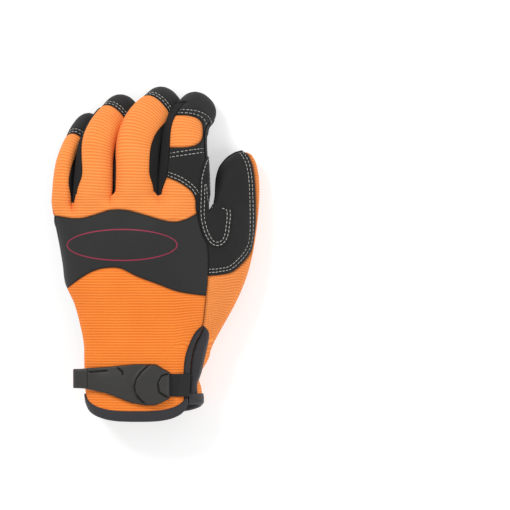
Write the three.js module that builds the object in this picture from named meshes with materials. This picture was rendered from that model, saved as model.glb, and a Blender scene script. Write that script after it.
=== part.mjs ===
// A left-hand mechanic's work glove lying palm down, in millimetres, +Z up.
// The fingers point along +Y, the thumb lies on the +X side and the open cuff faces -Y.
// One skin surface is worked out from a few tables and cut along the seams into panels, and each
// panel is thickened inwards, so the glove is hollow from the cuff to the fingertips.
import * as THREE from 'three';

// Driving dimensions
const wall = 1.6; // knit, leather and neoprene thickness
const seamGap = 0.3; // clearance between neighbouring pieces
const palmWidth = 115.1; // across the finger roots, with the glove lying flat
const bodyLength = 161; // from the middle of the hem to the finger roots
const handDepth = 40; // wrist thickness, and the side edge's height at the knuckles
const sideTilt = 4; // how much higher the index side is than the middle at the finger roots
const hemBow = 13; // how far the hem hangs below its sides on the back
const palmBow = 7; // and on the palm
const slitAcross = 0.33; // the slit's place at the hem, as a share of palmWidth
const fourchetteGap = 1; // clearance of the fourchettes, whose edges are pinched in the webs
const patchThick = 1.2; // leather patches sewn on top of the glove
const padThick = 2.2; // foam pads of the palm
const bindingThick = 1.2; // tape over the hem and along the slit
const bindingWidth = 6.5;
const leafThick = 3.4; // the puffed edge that the strap passes under
const slitTop = 68; // height up the cuff where the wrist slit ends
const slitHalf = 1; // half the slit's width at the hem
const slitEase = 10; // length over which the slit closes at its top
const tabThick = 3.2; // moulded strap tab
const tipPatchLength = 34; // leather patch over the front of the index fingertip
const webbingThick = 1.6;
const restDent = 0.6; // how far the soft fingertips are pressed flat
const farInside = 8; // value of a field well away from its edge
const webGap = 1.1; // free space between neighbouring finger roots

// Finger shapes. width, mid and tip are widths as shares of the room that the fingers share, depth is
// a share of handDepth, and length along the curve and root are shares of bodyLength. yaw, lean and
// curl are sideways and downward bends in degrees, from and to are where the bend starts and ends,
// and cap is the leather cap's length.
const fingerShapes = [
  {
    name: 'pinky', width: 0.1413, mid: 0.1145, tip: 0.1216, depth: 0.475, length: 0.472, root: 0.994,
    yaw: 2.5, lean: 31.5, from: 0.15, to: 0.75, curl: 60, cap: 25,
  },
  {
    name: 'ring', width: 0.2522, mid: 0.2227, tip: 0.1932, depth: 0.575, length: 0.5342, root: 1.025,
    yaw: 3, lean: 38, from: 0.24, to: 0.78, curl: 60, cap: 21,
  },
  {
    name: 'middle', width: 0.2737, mid: 0.2773, tip: 0.2272, depth: 0.6, length: 0.5652, root: 1.043,
    yaw: 0.8, lean: 41, from: 0.22, to: 0.8, curl: 60, cap: 20,
  },
  {
    name: 'index', width: 0.3328, mid: 0.2862, tip: 0.2594, depth: 0.6, length: 0.5404, root: 1.025,
    yaw: 1.2, lean: 38, from: 0.42, to: 0.85, curl: 60, cap: 22,
  },
];
// Web saddles between the fingers: place as a share of bodyLength, and how far the knit wraps
// down their sides
const webs = [
  { along: 0.988, wrap: -0.36 },
  { along: 1.028, wrap: 0.12 },
  { along: 1.019, wrap: -0.42 },
];
const fingerRoom = palmWidth - webGap * webs.length;
const fingers = fingerShapes.map((f) => ({
  ...f,
  width: f.width * fingerRoom,
  mid: f.mid * fingerRoom,
  tip: f.tip * fingerRoom,
  depth: f.depth * handDepth,
  length: f.length * bodyLength,
}));
const axisShare = 0.53; // share of the palm's width that lies on the pinky side of the axis
const fingerRise = 4; // upward slope of the fingers at their roots, in degrees
const domeLength = 13; // rounded end of each finger

// Sections of the hand from the hem to the finger roots. along is a share of bodyLength, left and
// right are shares of palmWidth from the axis, and rise, drop and lift are shares of handDepth.
const bodyRows = [
  { along: 0.084, left: -0.308, right: 0.425, rise: 0.52, drop: 0.5, lift: 0.52 },
  { along: 0.147, left: -0.318, right: 0.418, rise: 0.51, drop: 0.5, lift: 0.525 },
  { along: 0.2, left: -0.322, right: 0.404, rise: 0.49, drop: 0.49, lift: 0.535 },
  { along: 0.29, left: -0.324, right: 0.468, rise: 0.51, drop: 0.48, lift: 0.54 },
  { along: 0.345, left: -0.326, right: 0.474, rise: 0.52, drop: 0.47, lift: 0.56 },
  { along: 0.43, left: -0.348, right: 0.474, rise: 0.53, drop: 0.46, lift: 0.61 },
  { along: 0.53, left: -0.385, right: 0.474, rise: 0.54, drop: 0.42, lift: 0.69 },
  { along: 0.62, left: -0.441, right: 0.474, rise: 0.55, drop: 0.38, lift: 0.76 },
  { along: 0.71, left: -0.459, right: 0.474, rise: 0.55, drop: 0.32, lift: 0.84 },
  { along: 0.81, left: -0.482, right: 0.47, rise: 0.55, drop: 0.26, lift: 0.91 },
  { along: 0.9, left: -0.508, right: 0.468, rise: 0.54, drop: 0.2, lift: 0.97 },
  { along: 1, left: -0.53, right: 0.47, rise: 0.52, drop: 0.17, lift: 1 },
];

// Sections of the thumb, a fan from the palm's side to the tip. The inner edge point is at inReach
// and inAlong, the outer one at outReach and outAlong, as shares of palmWidth and bodyLength. Their
// heights inLift and outLift, and half the thumb's thickness, are shares of handDepth.
const thumbRows = [
  [0.468, 0.916, 0.98, 0.474, 0.336, 0.575, 0.36],
  [0.49, 0.957, 0.92, 0.602, 0.471, 0.54, 0.37],
  [0.507, 0.988, 0.84, 0.691, 0.589, 0.49, 0.37],
  [0.513, 1.025, 0.75, 0.749, 0.721, 0.43, 0.36],
  [0.516, 1.061, 0.66, 0.778, 0.857, 0.38, 0.34],
  [0.522, 1.106, 0.56, 0.788, 0.98, 0.34, 0.32],
  [0.543, 1.152, 0.46, 0.784, 1.093, 0.31, 0.29],
  [0.588, 1.191, 0.38, 0.765, 1.17, 0.3, 0.23],
  [0.636, 1.214, 0.34, 0.737, 1.208, 0.3, 0.15],
].map(([inReach, inAlong, inLift, outReach, outAlong, outLift, half]) => (
  { inReach, inAlong, inLift, outReach, outAlong, outLift, half }
));
const thumbTip = { reach: 0.689, along: 1.226, lift: 0.32 };

// Mesh density
const backCells = 4; // across each finger's back and front
const sideCells = 2; // down each side
const bodySteps = 11;
const fingerSteps = 7;
const domeSteps = 2;
const thumbSteps = 8;
const thumbFirst = 4; // body rows between which the thumb opens
const thumbLast = 9;
const cornerAngle = THREE.MathUtils.degToRad(27);
const roundness = 2.3; // superellipse power of every section

const smooth = (a, b, x) => {
  const t = Math.min(1, Math.max(0, (x - a) / (b - a)));
  return t * t * (3 - 2 * t);
};
const lerp = THREE.MathUtils.lerp;
const vec = (x, y, z) => new THREE.Vector3(x, y, z);
const bulge = (x) => Math.pow(Math.max(0, 1 - Math.pow(Math.abs(x), roundness)), 1 / roundness);
const softPower = (x) => Math.sign(x) * Math.pow(Math.abs(x), 2 / roundness);

// Reads a table at a share between 0 and 1 of its rows, on a smooth curve through them.
function readTable(rows, at, place) {
  const keys = Object.keys(rows[0]);
  const where = place ? locate(rows, at, place) : at * (rows.length - 1);
  const i = Math.min(rows.length - 2, Math.max(0, Math.floor(where)));
  const t = where - i;
  const row = (k) => rows[Math.min(rows.length - 1, Math.max(0, k))];
  const out = {};
  for (const key of keys) {
    const [a, b, c, d] = [row(i - 1)[key], row(i)[key], row(i + 1)[key], row(i + 2)[key]];
    out[key] = b + 0.5 * t * (c - a + t * (2 * a - 5 * b + 4 * c - d + t * (3 * (b - c) + d - a)));
  }
  return out;
}

function locate(rows, value, place) {
  let i = 0;
  while (i < rows.length - 2 && rows[i + 1][place] < value) i++;
  return i + (value - rows[i][place]) / (rows[i + 1][place] - rows[i][place]);
}

// A point of the hand between hem and finger roots. across runs from -1 on the pinky side to 1,
// and level is how far the point stands above (1) or below (-1) the side edge, as a share.
function bodyPoint(across, level, along) {
  const row = readTable(bodyRows, along, 'along');
  const middle = (0.5 * (row.left + row.right)) * palmWidth;
  const half = 0.5 * (row.right - row.left) * palmWidth;
  const x = middle + across * half;
  const hemEnd = level > 0 ? slitAcross * palmWidth : middle + half;
  const hemMiddle = 0.5 * (middle - half + hemEnd);
  const around = Math.min(1, Math.abs((x - hemMiddle) / (hemEnd - hemMiddle)));
  const hang = (level > 0 ? hemBow : palmBow) * Math.sqrt(1 - around ** 3) * Math.min(1, Math.abs(level) * 3);
  const bow = hang * (1 - smooth(0.05, 0.5, along));
  const side = row.lift * handDepth + across * sideTilt * smooth(0.4, 1, along);
  const height = (level > 0 ? row.rise : row.drop) * handDepth * level;
  return vec(x, along * bodyLength - bow, side + height);
}

// A finger's centre line, as frames along its length, with the root at height zero.
function fingerLine(finger) {
  const frames = [];
  const steps = 60;
  const place = vec(0, 0, 0);
  for (let i = 0; i <= steps; i++) {
    const u = i / steps;
    const yaw = THREE.MathUtils.degToRad(finger.yaw + finger.lean * smooth(finger.from, finger.to, u));
    const pitch = THREE.MathUtils.degToRad(fingerRise - (fingerRise + finger.curl) * smooth(-0.1, 1.1, u));
    const ahead = vec(Math.sin(yaw) * Math.cos(pitch), Math.cos(yaw) * Math.cos(pitch), Math.sin(pitch));
    const side = vec(Math.cos(yaw), -Math.sin(yaw), 0);
    frames.push({ place: place.clone(), ahead, side, up: side.clone().cross(ahead) });
    place.addScaledVector(ahead, finger.length / steps);
  }
  return frames;
}

// Distances along a finger at which its rings stand, closer together on the rounded end.
function fingerStations(finger) {
  const straight = finger.length - domeLength;
  const list = [];
  for (let i = 0; i <= fingerSteps; i++) list.push((straight * i) / fingerSteps);
  for (let i = 1; i <= domeSteps; i++) {
    list.push(straight + domeLength * Math.sin((0.5 * Math.PI * i) / (domeSteps + 0.55)));
  }
  return list;
}

function fingerRing(finger, line, s, root, angle) {
  const u = s / finger.length;
  const k = Math.min(line.length - 1, u * (line.length - 1));
  const i = Math.min(line.length - 2, Math.floor(k));
  const a = line[i];
  const b = line[i + 1];
  const place = a.place.clone().lerp(b.place, k - i).add(root);
  const side = a.side.clone().lerp(b.side, k - i).normalize();
  const up = a.up.clone().lerp(b.up, k - i).normalize();
  const into = Math.max(0, (s - (finger.length - domeLength)) / domeLength);
  const dome = bulge(into);
  const girth = lerp(lerp(finger.width, finger.mid, smooth(0, 0.5, u)), finger.tip, smooth(0.5, 0.85, u));
  const half = 0.5 * girth * dome;
  const deep = 0.5 * finger.depth * lerp(1, 0.84, smooth(0.3, 1, u)) * dome;
  const across = softPower(Math.cos(angle));
  const level = softPower(Math.sin(angle));
  const narrower = 1 - backTaper * Math.max(0, level) * smooth(-0.3, 0.4, u);
  return place.addScaledVector(side, across * half * narrower).addScaledVector(up, level * deep);
}
const backTaper = 0.1; // how much narrower a finger's back is than its front

// The skin: shared vertices with the seam measures that the cuts need, and quads.
const skin = { points: [], faces: [] };
function addPoint(p, marks) {
  const plain = { face: 0, back: -9, palm: -9, s: 0, finger: -1, side: 0, hem: 0 };
  skin.points.push({ p, n: vec(0, 0, 0), ...plain, ...marks });
  return skin.points.length - 1;
}
function addFace(part, ...loop) {
  const clean = loop.filter((v, i) => v !== loop[(i + 1) % loop.length]);
  if (clean.length > 2) skin.faces.push({ part, loop: clean });
}

// Angles of one ring: back from the pinky-side corner to the thumb-side corner, the side, the
// palm back again and the other side.
const backAngles = [];
for (let i = 0; i <= backCells; i++) {
  backAngles.push(lerp(Math.PI - cornerAngle, cornerAngle, i / backCells));
}
const sideAngles = [];
for (let i = 0; i <= sideCells; i++) sideAngles.push(lerp(cornerAngle, -cornerAngle, i / sideCells));

const webTaper = 14; // length over which the fourchette narrows towards the web
const knitWrapPinky = 0.75; // share of the outer side that the knit covers on the little finger
const knitWrapIndex = 0.05; // and on the index finger

// The sideways place of each finger's root.
const roots = [];
{
  let x = -axisShare * palmWidth;
  for (const finger of fingers) {
    roots.push(vec(x + finger.width / 2, finger.root * bodyLength, 0));
    x += finger.width + webGap;
  }
}

// Each finger is set at the height at which its tip rests on the floor.
const fingerLines = fingers.map(fingerLine);
fingers.forEach((finger, f) => {
  let lowest = Infinity;
  for (const s of fingerStations(finger)) {
    for (const angle of [-Math.PI / 2, -Math.PI / 3, (-2 * Math.PI) / 3]) {
      lowest = Math.min(lowest, fingerRing(finger, fingerLines[f], s, roots[f], angle).z);
    }
  }
  roots[f].z = (finger.name === 'index' ? patchThick + seamGap : 0) - restDent - lowest;
});

// Rings of every finger as vertex numbers: back, right side, palm and left side.
const fingerRings = fingers.map((finger, f) => {
  const wrapLeft = f === 0 ? knitWrapPinky : webs[f - 1].wrap;
  const wrapRight = f === fingers.length - 1 ? knitWrapIndex : webs[f].wrap;
  const sideArc = 2 * 0.5 * finger.depth * softPower(Math.sin(cornerAngle));
  return fingerStations(finger).map((s) => {
    const make = (angle, marks) => {
      const p = fingerRing(finger, fingerLines[f], s, roots[f], angle);
      return addPoint(p, { s: s - finger.length, finger: f, ...marks });
    };
    const fromEdge = (i) => Math.min(i, backCells - i) * (finger.width / backCells);
    const sideMark = (i) => (2 * i) / backCells - 1;
    const back = backAngles.map((angle, i) => {
      const wrap = i < backCells / 2 ? wrapLeft : wrapRight;
      const turned = wrap * sideArc * (wrap < 0 ? smooth(0, webTaper, s) : 1);
      return make(angle, { face: 0, side: sideMark(i), back: fromEdge(i) + turned, palm: -sideArc });
    });
    const palm = backAngles.map((angle, i) => {
      const wrapped = f === 0 && i === 0 ? (1 - knitWrapPinky) * sideArc : 0;
      return make(-angle, { face: 1, side: sideMark(i), back: -sideArc, palm: fromEdge(i) + wrapped });
    });
    const sideOf = (side, outer, wrap) =>
      sideAngles.slice(1, -1).map((angle, i) => {
        const face = (i + 1) / sideCells;
        const low = outer ? (face - wrap) * sideArc : -(1 - face) * sideArc;
        const turned = side > 0 ? angle : Math.PI - angle;
        return make(turned, { face, side, back: (wrap - face) * sideArc, palm: low });
      });
    const right = sideOf(1, f === fingers.length - 1, wrapRight);
    const left = sideOf(-1, f === 0, wrapLeft);
    return { back, right, palm, left };
  });
});
if (fingers.length > 1) {
  // The palm corner on the index finger's outer side belongs to the palm leather altogether.
  for (const ring of fingerRings[fingers.length - 1]) {
    skin.points[ring.palm[backCells]].palm = 4;
  }
}

// The saddle in the middle of each web, from the back down to the palm.
const saddles = webs.map((web, w) => {
  const left = fingerRings[w][0];
  const right = fingerRings[w + 1][0];
  const column = (a, b, share) => {
    const p = skin.points[a].p.clone().lerp(skin.points[b].p, 0.5);
    p.y = web.along * bodyLength;
    const m = skin.points[a];
    return addPoint(p, { face: share, back: m.back, palm: m.palm });
  };
  const list = [column(left.back[backCells], right.back[0], 0)];
  left.right.forEach((v, i) => list.push(column(v, right.left[i], (i + 1) / sideCells)));
  list.push(column(left.palm[backCells], right.palm[0], 1));
  return list;
});

// The finger-root row of the hand, on the back and on the palm.
function rootRow(key, end) {
  const row = [];
  fingerRings.forEach((rings, f) => {
    row.push(...rings[0][key]);
    if (f < saddles.length) row.push(saddles[f][end]);
  });
  return row;
}
const backRoot = rootRow('back', 0);
const palmRoot = rootRow('palm', sideCells);
const edgeLeft = skin.points[fingerRings[0][0].left[0]].p;
const edgeRight = skin.points[fingerRings[fingers.length - 1][0].right[0]].p;
const shareAcross = (v) => (2 * (skin.points[v].p.x - edgeLeft.x)) / (edgeRight.x - edgeLeft.x) - 1;

// Height along the hand of each body row, on the pinky side and on the thumb side.
const firstAlong = bodyRows[0].along;
const thumbStart = thumbRows[0].outAlong;
const thumbEnd = thumbRows[0].inAlong;
function rowAlong(r) {
  const left = lerp(firstAlong, 1, r / bodySteps);
  let right;
  if (r <= thumbFirst) right = lerp(firstAlong, thumbStart, r / thumbFirst);
  else if (r >= thumbLast) right = lerp(thumbEnd, 1, (r - thumbLast) / (bodySteps - thumbLast));
  else right = lerp(thumbStart, thumbEnd, thumbShare(r));
  return { left, right };
}
function thumbShare(r) {
  return 0.5 - 0.5 * Math.cos((Math.PI * (r - thumbFirst)) / (thumbLast - thumbFirst));
}

function thumbPoint(row, share, level) {
  const x = lerp(row.outReach, row.inReach, share) * palmWidth;
  const y = lerp(row.outAlong, row.inAlong, share) * bodyLength;
  const z = lerp(row.outLift, row.inLift, share) * handDepth;
  return vec(x, y, z + level * row.half * handDepth);
}

// One row of the hand. The side columns keep the section round; the root row's own shape fades in
// towards the fingers, and the thumb's opening pulls the thumb side out.
const fadeStart = 0.55;
function bodyColumn(across, level, r) {
  const { left, right } = rowAlong(r);
  return bodyPoint(across, level, lerp(left, right, smooth(-1.1, 1.1, across)));
}
function bodyRow(r) {
  const fade = Math.pow(smooth(fadeStart, 1, r / bodySteps), 1.5);
  const open = r > thumbFirst && r < thumbLast;
  const corner = shareAcross(backRoot[backRoot.length - 1]);
  const pull = (up) => {
    if (!open) return vec(0, 0, 0);
    const t = thumbShare(r);
    const swell = Math.hypot(0.35, Math.sin(Math.PI * t));
    return thumbPoint(thumbRows[0], t, up * swell).sub(bodyColumn(corner, up * bulge(corner), r));
  };
  const pulls = { back: pull(1), palm: pull(-1) };
  const columns = (rootRowList, up, key) =>
    rootRowList.map((v, i) => {
      const across = shareAcross(v);
      const p = bodyColumn(across, up * bulge(across), r);
      const rootOffset = skin.points[v].p.clone().sub(bodyColumn(across, up * bulge(across), bodySteps));
      p.addScaledVector(rootOffset, fade);
      p.addScaledVector(pulls[key], smooth(0.25, corner, across));
      const atLeft = i === 0;
      const atRight = i === rootRowList.length - 1;
      const leftEdge = atLeft ? skin.points[v] : null;
      const rightEdge = open ? farInside : skin.points[v][key];
      const edge = atLeft ? leftEdge[key] : atRight ? rightEdge : farInside;
      const marks = { face: up > 0 ? 0 : 1, back: -farInside, palm: -farInside };
      marks[key] = edge;
      return addPoint(p, marks);
    });
  const back = columns(backRoot, 1, 'back');
  const palm = columns(palmRoot, -1, 'palm');
  const sideColumn = (list, sign) =>
    list.map((v, i) => {
      const face = (i + 1) / sideCells;
      const level = 1 - 2 * face;
      const across = sign * (1 - Math.abs(level) * (1 - corner));
      const p = bodyColumn(across, level * bulge(corner), r);
      const q = bodyColumn(across, level * bulge(corner), bodySteps);
      p.addScaledVector(skin.points[v].p.clone().sub(q), fade);
      return addPoint(p, { face, back: skin.points[v].back, palm: skin.points[v].palm });
    });
  const left = sideColumn(fingerRings[0][0].left, -1);
  const right = open ? null : sideColumn(fingerRings[fingers.length - 1][0].right, 1);
  return { back, right, palm, left };
}
const bodyRings = [];
for (let r = 0; r < bodySteps; r++) bodyRings.push(bodyRow(r));
for (const key of ['back', 'right', 'palm', 'left']) {
  for (let r = 1; r < bodySteps; r++) {
    (bodyRings[r][key] ?? []).forEach((v, i) => {
      const below = bodyRings[r - 1][key];
      const step = below ? skin.points[v].p.distanceTo(skin.points[below[i]].p) : farInside;
      skin.points[v].hem = below ? skin.points[below[i]].hem + step : bodyLength;
    });
  }
}
const lastFinger = fingerRings[fingers.length - 1][0];
bodyRings.push({ back: backRoot, right: lastFinger.right, palm: palmRoot, left: fingerRings[0][0].left });

// Quads between two strips of vertices
function strip(part, a, b) {
  for (let i = 0; i + 1 < a.length; i++) addFace(part, a[i], a[i + 1], b[i + 1], b[i]);
}
const flip = (list) => [...list].reverse();
for (let r = 0; r < bodySteps; r++) {
  const low = bodyRings[r];
  const high = bodyRings[r + 1];
  strip('body', low.back, high.back);
  strip('body', high.palm, low.palm);
  const leftOf = (ring) => [ring.palm[0], ...flip(ring.left), ring.back[0]];
  strip('body', leftOf(low), leftOf(high));
  if (low.right && high.right && (r < thumbFirst || r >= thumbLast)) {
    const rightOf = (ring) => [ring.back.at(-1), ...ring.right, ring.palm.at(-1)];
    strip('body', rightOf(low), rightOf(high));
  }
}
fingerRings.forEach((rings, f) => {
  const loop = (ring) => [...ring.back, ...ring.right, ...flip(ring.palm), ...flip(ring.left), ring.back[0]];
  for (let k = 0; k + 1 < rings.length; k++) strip('finger' + f, loop(rings[k]), loop(rings[k + 1]));
  const end = loop(rings.at(-1));
  const tip = fingerRing(fingers[f], fingerLines[f], fingers[f].length, roots[f], 0);
  const pole = addPoint(tip, { face: 0.5, s: 0, finger: f });
  for (let i = 0; i + 1 < end.length; i++) addFace('finger' + f, end[i], end[i + 1], pole);
});
saddles.forEach((saddle, w) => {
  const a = fingerRings[w][0];
  const b = fingerRings[w + 1][0];
  strip('web' + w, [a.back.at(-1), ...a.right, a.palm.at(-1)].reverse(), flip(saddle));
  strip('web' + w, flip(saddle), [b.back[0], ...b.left, b.palm[0]].reverse());
});

// The thumb: rings from the opening in the palm's side to the tip.
const openRows = [];
for (let r = thumbFirst; r <= thumbLast; r++) openRows.push(r);
const outerSide = bodyRings[thumbFirst].right;
const innerSide = bodyRings[thumbLast].right;
const thumbRings = [
  {
    back: openRows.map((r) => bodyRings[r].back.at(-1)),
    inner: innerSide,
    palm: openRows.map((r) => bodyRings[r].palm.at(-1)),
    outer: outerSide,
  },
];
const thumbFade = 0.45; // share of the thumb over which the opening's own shape fades out
function thumbRingPoint(share, level, u) {
  const row = readTable(thumbRows, u);
  return thumbPoint(row, share, level);
}
{
  const n = openRows.length - 1;
  const corner = 0.5 - 0.5 * softPower(Math.cos(cornerAngle));
  const eased = (i) => 0.5 - 0.5 * Math.cos((Math.PI * i) / n);
  const shares = openRows.map((r, i) => corner + (1 - 2 * corner) * eased(i));
  const levelOf = (share) => bulge(2 * share - 1);
  const offset = (v, share, level) => skin.points[v].p.clone().sub(thumbRingPoint(share, level, 0));
  const place = (v, share, level, u) => {
    const p = thumbRingPoint(share, level, u);
    return p.addScaledVector(offset(v, share, level), 1 - smooth(0, thumbFade, u));
  };
  const first = thumbRings[0];
  for (let k = 1; k <= thumbSteps; k++) {
    const u = Math.pow(k / thumbSteps, 0.92);
    const ring = { back: [], inner: [], palm: [], outer: [] };
    openRows.forEach((r, i) => {
      const level = levelOf(shares[i]);
      const top = place(first.back[i], shares[i], level, u);
      const bottom = place(first.palm[i], shares[i], -level, u);
      ring.back.push(addPoint(top, { face: 0, back: farInside, palm: -farInside }));
      ring.palm.push(addPoint(bottom, { face: 1, back: -farInside, palm: farInside }));
    });
    for (let i = 1; i < sideCells; i++) {
      const face = i / sideCells;
      const level = (1 - 2 * face) * levelOf(corner);
      const marks = { face, back: farInside * (0.5 - face), palm: farInside * (face - 0.5) };
      ring.inner.push(addPoint(place(first.inner[i - 1], 1, level, u), marks));
      ring.outer.push(addPoint(place(first.outer[i - 1], 0, level, u), marks));
    }
    thumbRings.push(ring);
  }
  const loop = (ring) => [
    ...flip(ring.back),
    ...ring.outer,
    ...ring.palm,
    ...flip(ring.inner),
    ring.back.at(-1),
  ];
  for (let k = 0; k < thumbSteps; k++) strip('thumb', loop(thumbRings[k]), loop(thumbRings[k + 1]));
  const end = loop(thumbRings.at(-1));
  const tip = vec(thumbTip.reach * palmWidth, thumbTip.along * bodyLength, thumbTip.lift * handDepth);
  const pole = addPoint(tip, { face: 0.5, back: 0, palm: 0 });
  for (let i = 0; i + 1 < end.length; i++) addFace('thumb', end[i], end[i + 1], pole);
}

// The glove's own weight flattens what it lies on: the fingertips and the underside of the cuff.
for (const v of skin.points) {
  let floor = v.finger < 0 ? seamGap + bindingThick : 0;
  if (v.finger === fingers.length - 1) floor = seamGap + patchThick;
  v.p.z = Math.max(v.p.z, floor);
}

// Vertex normals, pointing out
for (const face of skin.faces) {
  const [a, b, c, d] = [0, 1, 2, face.loop.length - 1].map((i) => skin.points[face.loop[i]].p);
  const n = c.clone().sub(a).cross(d.clone().sub(b));
  if (face.loop.length === 3) n.copy(b.clone().sub(a).cross(c.clone().sub(a)));
  for (const v of face.loop) skin.points[v].n.add(n);
}
for (const point of skin.points) point.n.normalize();

// Seam lines seen from above. across is a share of palmWidth from the axis, along of bodyLength.
const seams = {
  bandTop: [
    { across: -0.515, along: 0.928 },
    { across: -0.359, along: 0.917 },
    { across: -0.248, along: 0.935 },
    { across: -0.147, along: 0.957 },
    { across: -0.046, along: 0.954 },
    { across: 0.055, along: 0.935 },
    { across: 0.196, along: 0.906 },
    { across: 0.277, along: 0.903 },
    { across: 0.363, along: 0.925 },
    { across: 0.439, along: 0.964 },
  ],
  bandBottom: [
    { across: -0.43, along: 0.603 },
    { across: -0.329, along: 0.654 },
    { across: -0.248, along: 0.683 },
    { across: -0.167, along: 0.694 },
    { across: -0.087, along: 0.69 },
    { across: 0.015, along: 0.654 },
    { across: 0.135, along: 0.622 },
    { across: 0.277, along: 0.585 },
    { across: 0.448, along: 0.567 },
  ],
  knitEdge: [
    { across: 0.337, along: 0.093 },
    { across: 0.349, along: 0.229 },
    { across: 0.364, along: 0.302 },
    { across: 0.386, along: 0.357 },
    { across: 0.429, along: 0.428 },
    { across: 0.453, along: 0.569 },
    { across: 0.464, along: 0.657 },
    { across: 0.461, along: 0.791 },
    { across: 0.429, along: 0.848 },
    { across: 0.403, along: 0.921 },
    { across: 0.388, along: 0.959 },
    { across: 0.385, along: 1 },
    { across: 0.356, along: 1.041 },
    { across: 0.277, along: 1.081 },
    { across: 0.176, along: 1.109 },
    { across: 0.091, along: 1.131 },
  ],
  thumbBack: [
    { across: 0.464, along: 0.657 },
    { across: 0.546, along: 0.662 },
    { across: 0.62, along: 0.675 },
    { across: 0.692, along: 0.719 },
    { across: 0.741, along: 0.766 },
    { across: 0.765, along: 0.818 },
    { across: 0.771, along: 0.905 },
    { across: 0.765, along: 1.068 },
    { across: 0.749, along: 1.158 },
    { across: 0.717, along: 1.213 },
    { across: 0.686, along: 1.245 },
  ],
  thumbPalm: [
    { across: 0.175, along: 0.09 },
    { across: 0.164, along: 0.247 },
    { across: 0.17, along: 0.271 },
    { across: 0.315, along: 0.401 },
    { across: 0.442, along: 0.517 },
    { across: 0.525, along: 0.61 },
    { across: 0.62, along: 0.755 },
    { across: 0.645, along: 0.821 },
    { across: 0.688, along: 0.93 },
    { across: 0.708, along: 0.995 },
    { across: 0.722, along: 1.081 },
    { across: 0.72, along: 1.145 },
    { across: 0.69, along: 1.23 },
  ],
  leatherEnd: [
    { across: -0.389, along: 0.3 },
    { across: -0.342, along: 0.271 },
    { across: -0.237, along: 0.249 },
    { across: -0.08, along: 0.243 },
    { across: 0.154, along: 0.249 },
  ],
};
const crotchSeam = 0.945; // where the index patch meets the thumb leather, as a share of bodyLength

// The knit window on the index finger's back: its middle as shares of the palm, its half width as
// a share of the finger's width and its half height as a share of the finger's length.
const indexWindow = { across: 0.255, along: 1.313, halfWidth: 0.457, halfHeight: 0.138, power: 3 };

// Signed distance from a smooth curve through a seam line's points, positive on the right-hand
// side of somebody walking along it. The line goes on straight past both ends.
function besideLine(line) {
  const steps = 4 * (line.length - 1);
  const points = [];
  for (let i = 0; i <= steps; i++) {
    const q = readTable(line, i / steps);
    points.push([q.across * palmWidth, q.along * bodyLength]);
  }
  return (p) => {
    let best = Infinity;
    let signed = 0;
    for (let i = 0; i < steps; i++) {
      const [ax, ay] = points[i];
      const [dx, dy] = [points[i + 1][0] - ax, points[i + 1][1] - ay];
      const long = Math.hypot(dx, dy);
      let t = ((p.x - ax) * dx + (p.y - ay) * dy) / (long * long);
      if (i > 0) t = Math.max(0, t);
      if (i < steps - 1) t = Math.min(1, t);
      const away = Math.hypot(p.x - ax - t * dx, p.y - ay - t * dy);
      const cross = ((p.x - ax) * dy - (p.y - ay) * dx) / long;
      if (away < best - 1e-6 || (away < best + 1e-6 && Math.abs(cross) > Math.abs(signed))) {
        best = Math.min(best, away);
        signed = cross;
      }
    }
    return Math.sign(signed) * best;
  };
}
const beside = Object.fromEntries(Object.entries(seams).map(([name, line]) => [name, besideLine(line)]));
const lastIndex = fingers.length - 1;
const thumbSide = (v) => (v.finger >= 0 && v.finger < lastIndex ? -farInside : beside.knitEdge(v.p));
const windowDepth = (v) => {
  const { width, length } = fingers[lastIndex];
  const halfHeight = indexWindow.halfHeight * length;
  const across = Math.abs(v.p.x - indexWindow.across * palmWidth) / (indexWindow.halfWidth * width);
  const along = Math.abs(v.p.y - indexWindow.along * bodyLength) / halfHeight;
  const { power } = indexWindow;
  return (1 - (across ** power + along ** power) ** (1 / power)) * halfHeight;
};
const aboveCrotch = (v) => {
  if (v.finger === lastIndex) return farInside;
  if (v.part === 'thumb') return -farInside;
  return v.p.y - crotchSeam * bodyLength;
};
const belowCap = (v) => (v.finger < 0 ? farInside : -v.s - fingers[v.finger].cap);
const palmEdge = (v) => (v.finger >= 0 ? -farInside : beside.thumbPalm(v.p));

// Fields that the panels are cut with. Each is positive inside.
const inside = {
  back: (v) => v.back,
  palm: (v) => v.palm,
  notBack: (v) => -v.back,
  notPalm: (v) => -v.palm,
  cap: (v) => -belowCap(v),
  notCap: belowCap,
  aboveBand: (v) => (v.finger >= 0 ? farInside : -beside.bandTop(v.p)),
  belowBandTop: (v) => beside.bandTop(v.p),
  aboveBandBottom: (v) => -beside.bandBottom(v.p),
  belowBand: (v) => beside.bandBottom(v.p),
  knitSide: (v) => -thumbSide(v),
  thumbSide,
  window: windowDepth,
  notWindow: (v) => -windowDepth(v),
  aboveCrotch,
  belowCrotch: (v) => -aboveCrotch(v),
  insideWrap: (v) => -lerp(beside.thumbBack(v.p), palmEdge(v), v.face),
  aboveCuff: (v) => -beside.leatherEnd(v.p),
  belowLeather: (v) => beside.leatherEnd(v.p),
  wrapA: (v) => lerp(thumbSide(v) - slitAt(v), palmEdge(v), v.face),
  wrapB: (v) => lerp(beside.thumbBack(v.p), palmEdge(v), v.face),
  knitSideSlit: (v) => -thumbSide(v) - slitAt(v),
};
function slitAt(v) {
  return slitHalf * smooth(slitTop + 1, slitTop - slitEase, v.p.y);
}

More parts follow.
